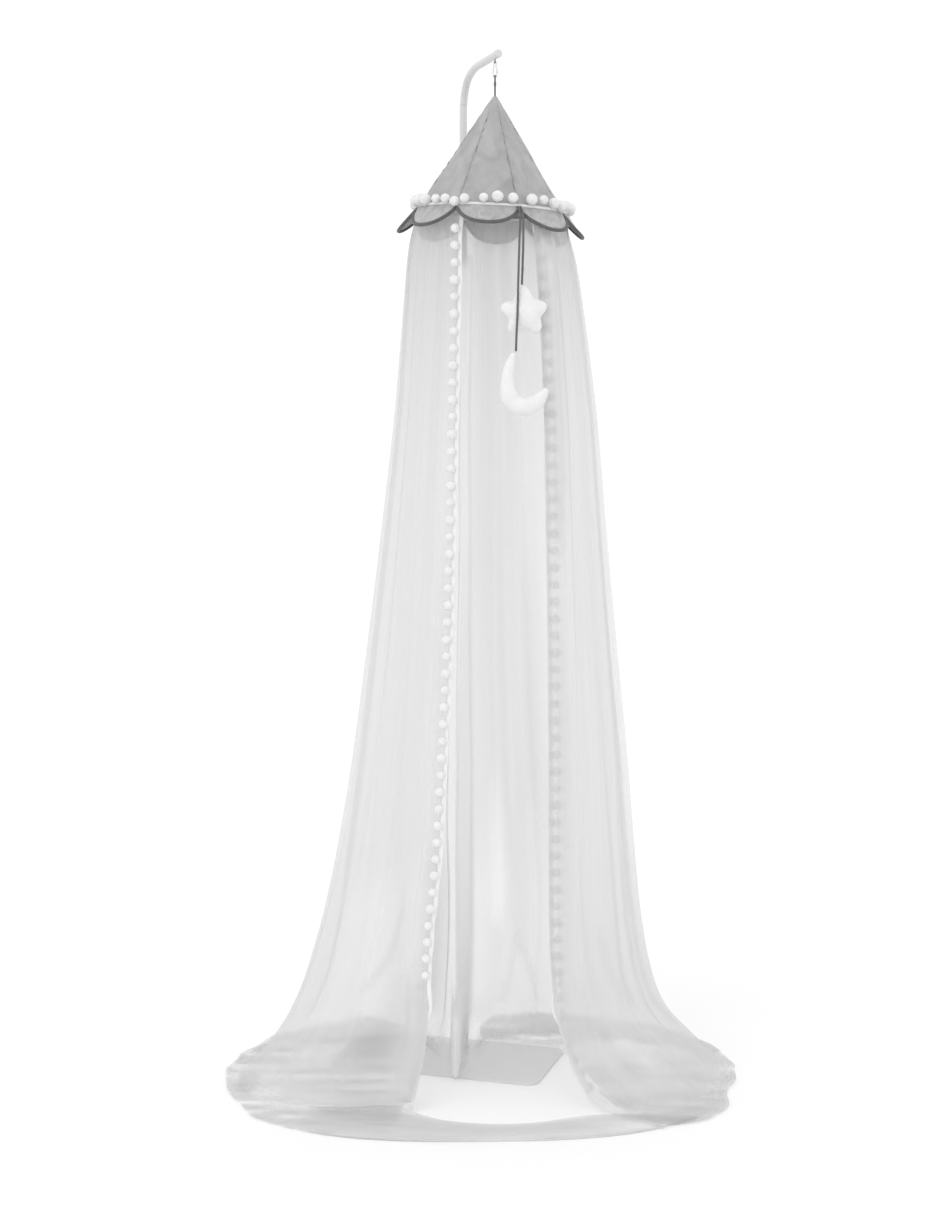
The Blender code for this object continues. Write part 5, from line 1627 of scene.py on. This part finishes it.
@dataclass
class Net:
    """The sheer net with the taped and trimmed edges of its opening."""

    shape: NetShape = field(default_factory=NetShape)
    columns: int = 640
    rows: int = 134
    under_rows: int = 18
    tape_half: float = 0.0035
    tape_gap: float = 0.0014
    tape_out: float = 0.0020
    tape_step: float = 0.008
    pompom_r: float = 0.0081
    spacing: float = 0.0287
    trim_top: float = 0.056
    trim_foot: tuple = (0.765, 0.745)
    trim_hides: float = 0.013
    trim_dips_z: float = 0.225

    def build(self) -> None:
        """Makes and dresses the net and both trims."""
        net = self.sheet()
        finish_piece(net, NET_CLOTH, ["net"])
        trims = []
        for edge in Edge:
            tape = self.tape(edge)
            balls = self.pompoms(edge)
            finish_piece(tape, TAPE)
            finish_piece(balls, WOOL, [f"edge_trim_{edge.value}"])
            trims += [tape, balls]

    def sheet(self) -> Thing:
        """The net itself, as one open sheet."""
        u = np.linspace(0.0, 1.0, self.columns + 1)
        ts = np.linspace(0.0, 1.0, self.rows + 1)
        shares = np.linspace(0.0, 1.0, self.under_rows + 1)[1:]
        shape = self.shape
        points = np.stack([shape.surface(u, t) for t in ts] + [shape.tucked(u, v) for v in shares])
        run = run_along(points)
        spots = np.stack([np.broadcast_to(u * shape.hem_length, run.shape), run], axis=-1)
        piece = grid_piece("sheer_net", points, spots)
        calm = 1.0 - 0.95 * eased((0.050 - np.abs(u - shape.pleat_u)) / 0.012)
        hidden = [(0.55 + 0.25 * shape.wrinkle(u * 9.0, 30.0 + 4.0 * v) + (0.1 if v == 1.0 else 0.0)) * calm
                  for v in shares]
        layers = np.stack([shape.layers(u, t) for t in ts] + hidden)
        lying = eased((0.022 - points[..., 2]) / 0.010)
        lay_value(piece, "layers", np.clip(layers + lying * calm * shape.creased(points), 0.05, 6.0))
        strips = np.stack([shape.strip(u, t) for t in ts] + [0.0 * u] * self.under_rows)
        # On the strip hung is raised to 1, so that the painted light of deep folds reaches it low down.
        lay_value(piece, "hung", np.maximum(0.25 + 0.75 * eased((points[..., 2] - 0.02) / 0.20), strips))
        return piece

    def edge_frame(self, edge: Edge, t: float) -> tuple:
        """The net's front edge at t: its point, the way out of the cloth and the outward normal."""
        end, inside = (0.0, 0.006) if edge is Edge.LEFT else (1.0, 0.994)
        point, near = self.shape.surface(np.array([end, inside]), t, fine=False)
        below, above = (self.shape.surface(np.array([end]), clipped(t + by), fine=False)[0]
                        for by in (0.01, -0.01))
        down = (below - above) / np.linalg.norm(below - above)
        away = point - near
        away -= down * np.dot(away, down)
        away /= np.linalg.norm(away)
        normal = np.cross(away, down)
        if normal[0] * point[0] + normal[1] * point[1] + 0.1 * normal[2] < 0.0:
            normal = -normal
        return point, away, normal

    def stations(self, edge: Edge, low: float, high: float, spacing: float) -> Sequence[float]:
        """Places along a front edge at an even spacing, as values of t."""
        end = 0.0 if edge is Edge.LEFT else 1.0
        ts = np.linspace(low, high, 300)
        spots = np.array([self.shape.surface(np.array([end]), t, fine=False)[0] for t in ts])
        run = run_along(spots)
        wanted = max(int(round(run[-1] / spacing)), 2)
        return [float(np.interp(run[-1] * k / wanted, run, ts)) for k in range(wanted + 1)]

    def tape(self, edge: Edge) -> Thing:
        """Woven tape sewn along a front edge."""
        ts = self.stations(edge, 0.010, self.trim_foot[edge.value - 1] + 0.002, self.tape_step)
        across = np.linspace(0.0, 1.0, 5)
        rows = []
        for k, t in enumerate(ts):
            point, away, normal = self.edge_frame(edge, t)
            sway = 0.0005 * math.sin(k * 0.9) + 0.0004 * math.sin(k * 0.37 + 1.0)
            half = self.tape_half * (1.0 + 0.10 * math.sin(k * 0.61))
            under = float(eased((self.trim_dips_z - point[2]) / 0.05))
            back = self.trim_hides * float(eased((self.trim_dips_z - 0.04 - point[2]) / 0.06))
            rows.append([point + away * (self.tape_gap + 2 * half * (a - 0.12) + sway - back)
                         + normal * (self.tape_out * (1 - 4.0 * under) + 0.0006 * math.sin(math.pi * a))
                         for a in across])
        points = np.array(rows)
        run = np.arange(len(ts)) * self.tape_step
        spots = np.stack(np.broadcast_arrays(across[None, :] * 2 * self.tape_half, run[:, None]), axis=-1)
        piece = grid_piece(f"edge_tape_{edge.name.lower()}", points, spots, flip=edge is Edge.LEFT)
        return apply_modifier(piece, "SOLIDIFY", thickness=0.0009, offset=0.0)

    def pompoms(self, edge: Edge) -> Thing:
        """The pompoms sewn to a front edge's tape."""
        high = self.trim_foot[edge.value - 1] - 0.004
        centres, feet, sizes = [], [], []
        low = self.trim_top + (0.006 if edge is Edge.LEFT else 0.030)
        for k, t in enumerate(self.stations(edge, low, high, self.spacing)):
            point, away, normal = self.edge_frame(edge, t)
            side = 1.0 if point[2] > self.trim_dips_z else -1.0
            back = self.trim_hides * 0.5 * (1.0 - side)
            foot = point + away * (self.tape_gap + self.tape_half - back) + normal * self.tape_out * side
            centre = foot - away * 0.0070 + normal * (0.0086 if side > 0 else -0.0130)
            feet.append(foot)
            centres.append(centre)
            sizes.append(self.pompom_r * (1.0 + 0.07 * math.sin(k * 2.7)))
        return pompom_piece(f"edge_pompoms_{edge.name.lower()}", centres, sizes, detail=3, feet=feet)


# The ornaments


@dataclass
class Ornaments:
    """Stuffed star and crescent moon on their dark cords."""

    cord_r: float = 0.0020
    star_y: float = -0.1580
    moon_y: float = -0.1735
    star_route: tuple = ((0.0410, -0.1300, 1.5466), (0.0413, -0.1306, 1.5451), (0.0436, -0.1372, 1.5400),
                         (0.0452, -0.1425, 1.5320), (0.0457, -0.1460, 1.5180), (0.0455, -0.1500, 1.4900),
                         (0.0445, -0.1545, 1.4500), (0.0430, -0.1580, 1.4147))
    moon_route: tuple = ((0.0368, -0.1314, 1.5466), (0.0371, -0.1320, 1.5451), (0.0389, -0.1380, 1.5400),
                         (0.0405, -0.1425, 1.5320), (0.0405, -0.1465, 1.5180), (0.0390, -0.1530, 1.4900),
                         (0.0372, -0.1660, 1.4350), (0.0355, -0.1750, 1.3700), (0.0340, -0.1765, 1.3350),
                         (0.0330, -0.1735, 1.3035))
    star_middle: tuple = (0.0484, 1.3677)
    star_tips: tuple = ((0.0442, 1.4150), (0.0862, 1.3822), (0.0738, 1.3350), (0.0225, 1.3326),
                        (0.0056, 1.3790))
    star_deep: float = 0.54
    moon_spine: tuple = ((0.0298, 1.3015, 0.0042), (0.0232, 1.2817, 0.0090), (0.0197, 1.2602, 0.0112),
                         (0.0204, 1.2395, 0.0134), (0.0249, 1.2245, 0.0156), (0.0346, 1.2150, 0.0162),
                         (0.0475, 1.2118, 0.0158), (0.0608, 1.2160, 0.0146), (0.0719, 1.2246, 0.0120),
                         (0.0800, 1.2350, 0.0080), (0.0842, 1.2424, 0.0046))
    swell: float = 0.0020
    swell_frames: int = 20

    def cords(self) -> None:
        for name, node, route in (("star_hanging_cord", "star_cord", self.star_route),
                                  ("moon_hanging_cord", "moon_cord", self.moon_route)):
            line = sampled(route, 40)
            length = float(np.linalg.norm(np.diff(line, axis=0), axis=1).sum())
            count = int(length / 0.0012)
            path = sampled(route, count)
            piece = tube_piece(name, path, laid_radius(self.cord_r, 0.0072), 15)
            finish_piece(piece, CORD, [node])

    def toys(self) -> None:
        for node, finish in (("star", STAR_PILE), ("moon", MOON_PILE)):
            piece = self.stuffed(node)
            finish_piece(piece, finish, [node])

    def arm_radius(self, share: float) -> float:
        """A star arm's radius at a share of its length: slimmer outward and rounded at the tip."""
        tip = math.sqrt(max(1.0 - max(share - 0.86, 0.0) ** 2 / 0.0225, 0.02))
        return (0.0300 - 0.0230 * min(share, 1.0) ** 1.15) * tip

    def star_blank(self) -> Thing:
        """Five stubby arms round a flattened middle, before they are fused."""
        hub = np.array([self.star_middle[0], self.star_y, self.star_middle[1]])
        arms = []
        for x, z in self.star_tips:
            tip = np.array([x, self.star_y, z])
            path = np.array([hub + (tip - hub) * k / 16 for k in range(17)])
            far = float(np.linalg.norm(tip - hub))
            arms.append(tube_piece("arm", path, lambda run, turns, far=far: np.full(
                len(turns), self.arm_radius(run / far)), 24))
        blank = join_pieces("star_blank", arms)
        for spot in blank.data.vertices:
            spot.co.y = self.star_y + (spot.co.y - self.star_y) * self.star_deep
        return blank

    def moon_blank(self) -> Thing:
        """The crescent's round body along its spine."""
        spine = sampled(self.moon_spine, 61)
        path = np.column_stack([spine[:, 0], np.full(len(spine), self.moon_y), spine[:, 1]])
        run = run_along(path)
        return tube_piece("moon_blank", path, lambda at, turns: np.full(
            len(turns), float(np.interp(at, run, spine[:, 2]))), 32)

    def stuffed(self, node: str) -> Thing:
        """Fuses and swells a blank like a stuffed toy.

        Args:
            node: The solid that it stands for.

        Returns:
            The stuffed piece.
        """
        piece = self.star_blank() if node == "star" else self.moon_blank()
        piece.name = piece.data.name = f"stuffed_{node}"
        apply_modifier(piece, "REMESH", mode="VOXEL", voxel_size=0.0025)
        self.inflate(piece)
        apply_modifier(piece, "SMOOTH", factor=0.5, iterations=4)
        apply_modifier(piece, "SUBSURF", levels=1, render_levels=1)
        piece.data.polygons.foreach_set("use_smooth", [True] * len(piece.data.polygons))
        return piece

    def inflate(self, piece: Thing) -> None:
        """Lets cloth pressure fill the piece, within the swell's cap."""
        start = np.empty(len(piece.data.vertices) * 3)
        piece.data.vertices.foreach_get("co", start)
        cloth = piece.modifiers.new("cloth", "CLOTH")
        cloth.settings.use_pressure = True
        cloth.settings.uniform_pressure_force = 4.0
        cloth.settings.effector_weights.gravity = 0.0
        cloth.settings.tension_stiffness = 12.0
        cloth.settings.bending_stiffness = 0.4
        cloth.point_cache.frame_start, cloth.point_cache.frame_end = 1, self.swell_frames
        for step in range(1, self.swell_frames + 1):
            bpy.context.scene.frame_set(step)
        pick(piece)
        bpy.ops.object.modifier_apply(modifier=cloth.name)
        bpy.context.scene.frame_set(1)
        moved = np.empty_like(start)
        piece.data.vertices.foreach_get("co", moved)
        gap = (moved - start).reshape(-1, 3)
        size = np.linalg.norm(gap, axis=1, keepdims=True)
        gap *= np.minimum(1.0, self.swell / np.maximum(size, 1e-9))
        piece.data.vertices.foreach_set("co", (start.reshape(-1, 3) + gap).ravel())
        piece.data.update()


def main() -> None:
    """Builds the studio and every piece, in order."""
    logging.basicConfig(level=logging.INFO, format="%(name)s: %(message)s", stream=sys.stdout)
    Studio().build()
    ornaments = Ornaments()
    ornaments.cords()
    Stand().build()
    HangingGear().build()
    Roof().build()
    Net().build()
    ornaments.toys()


if __name__ == "__main__":
    main()
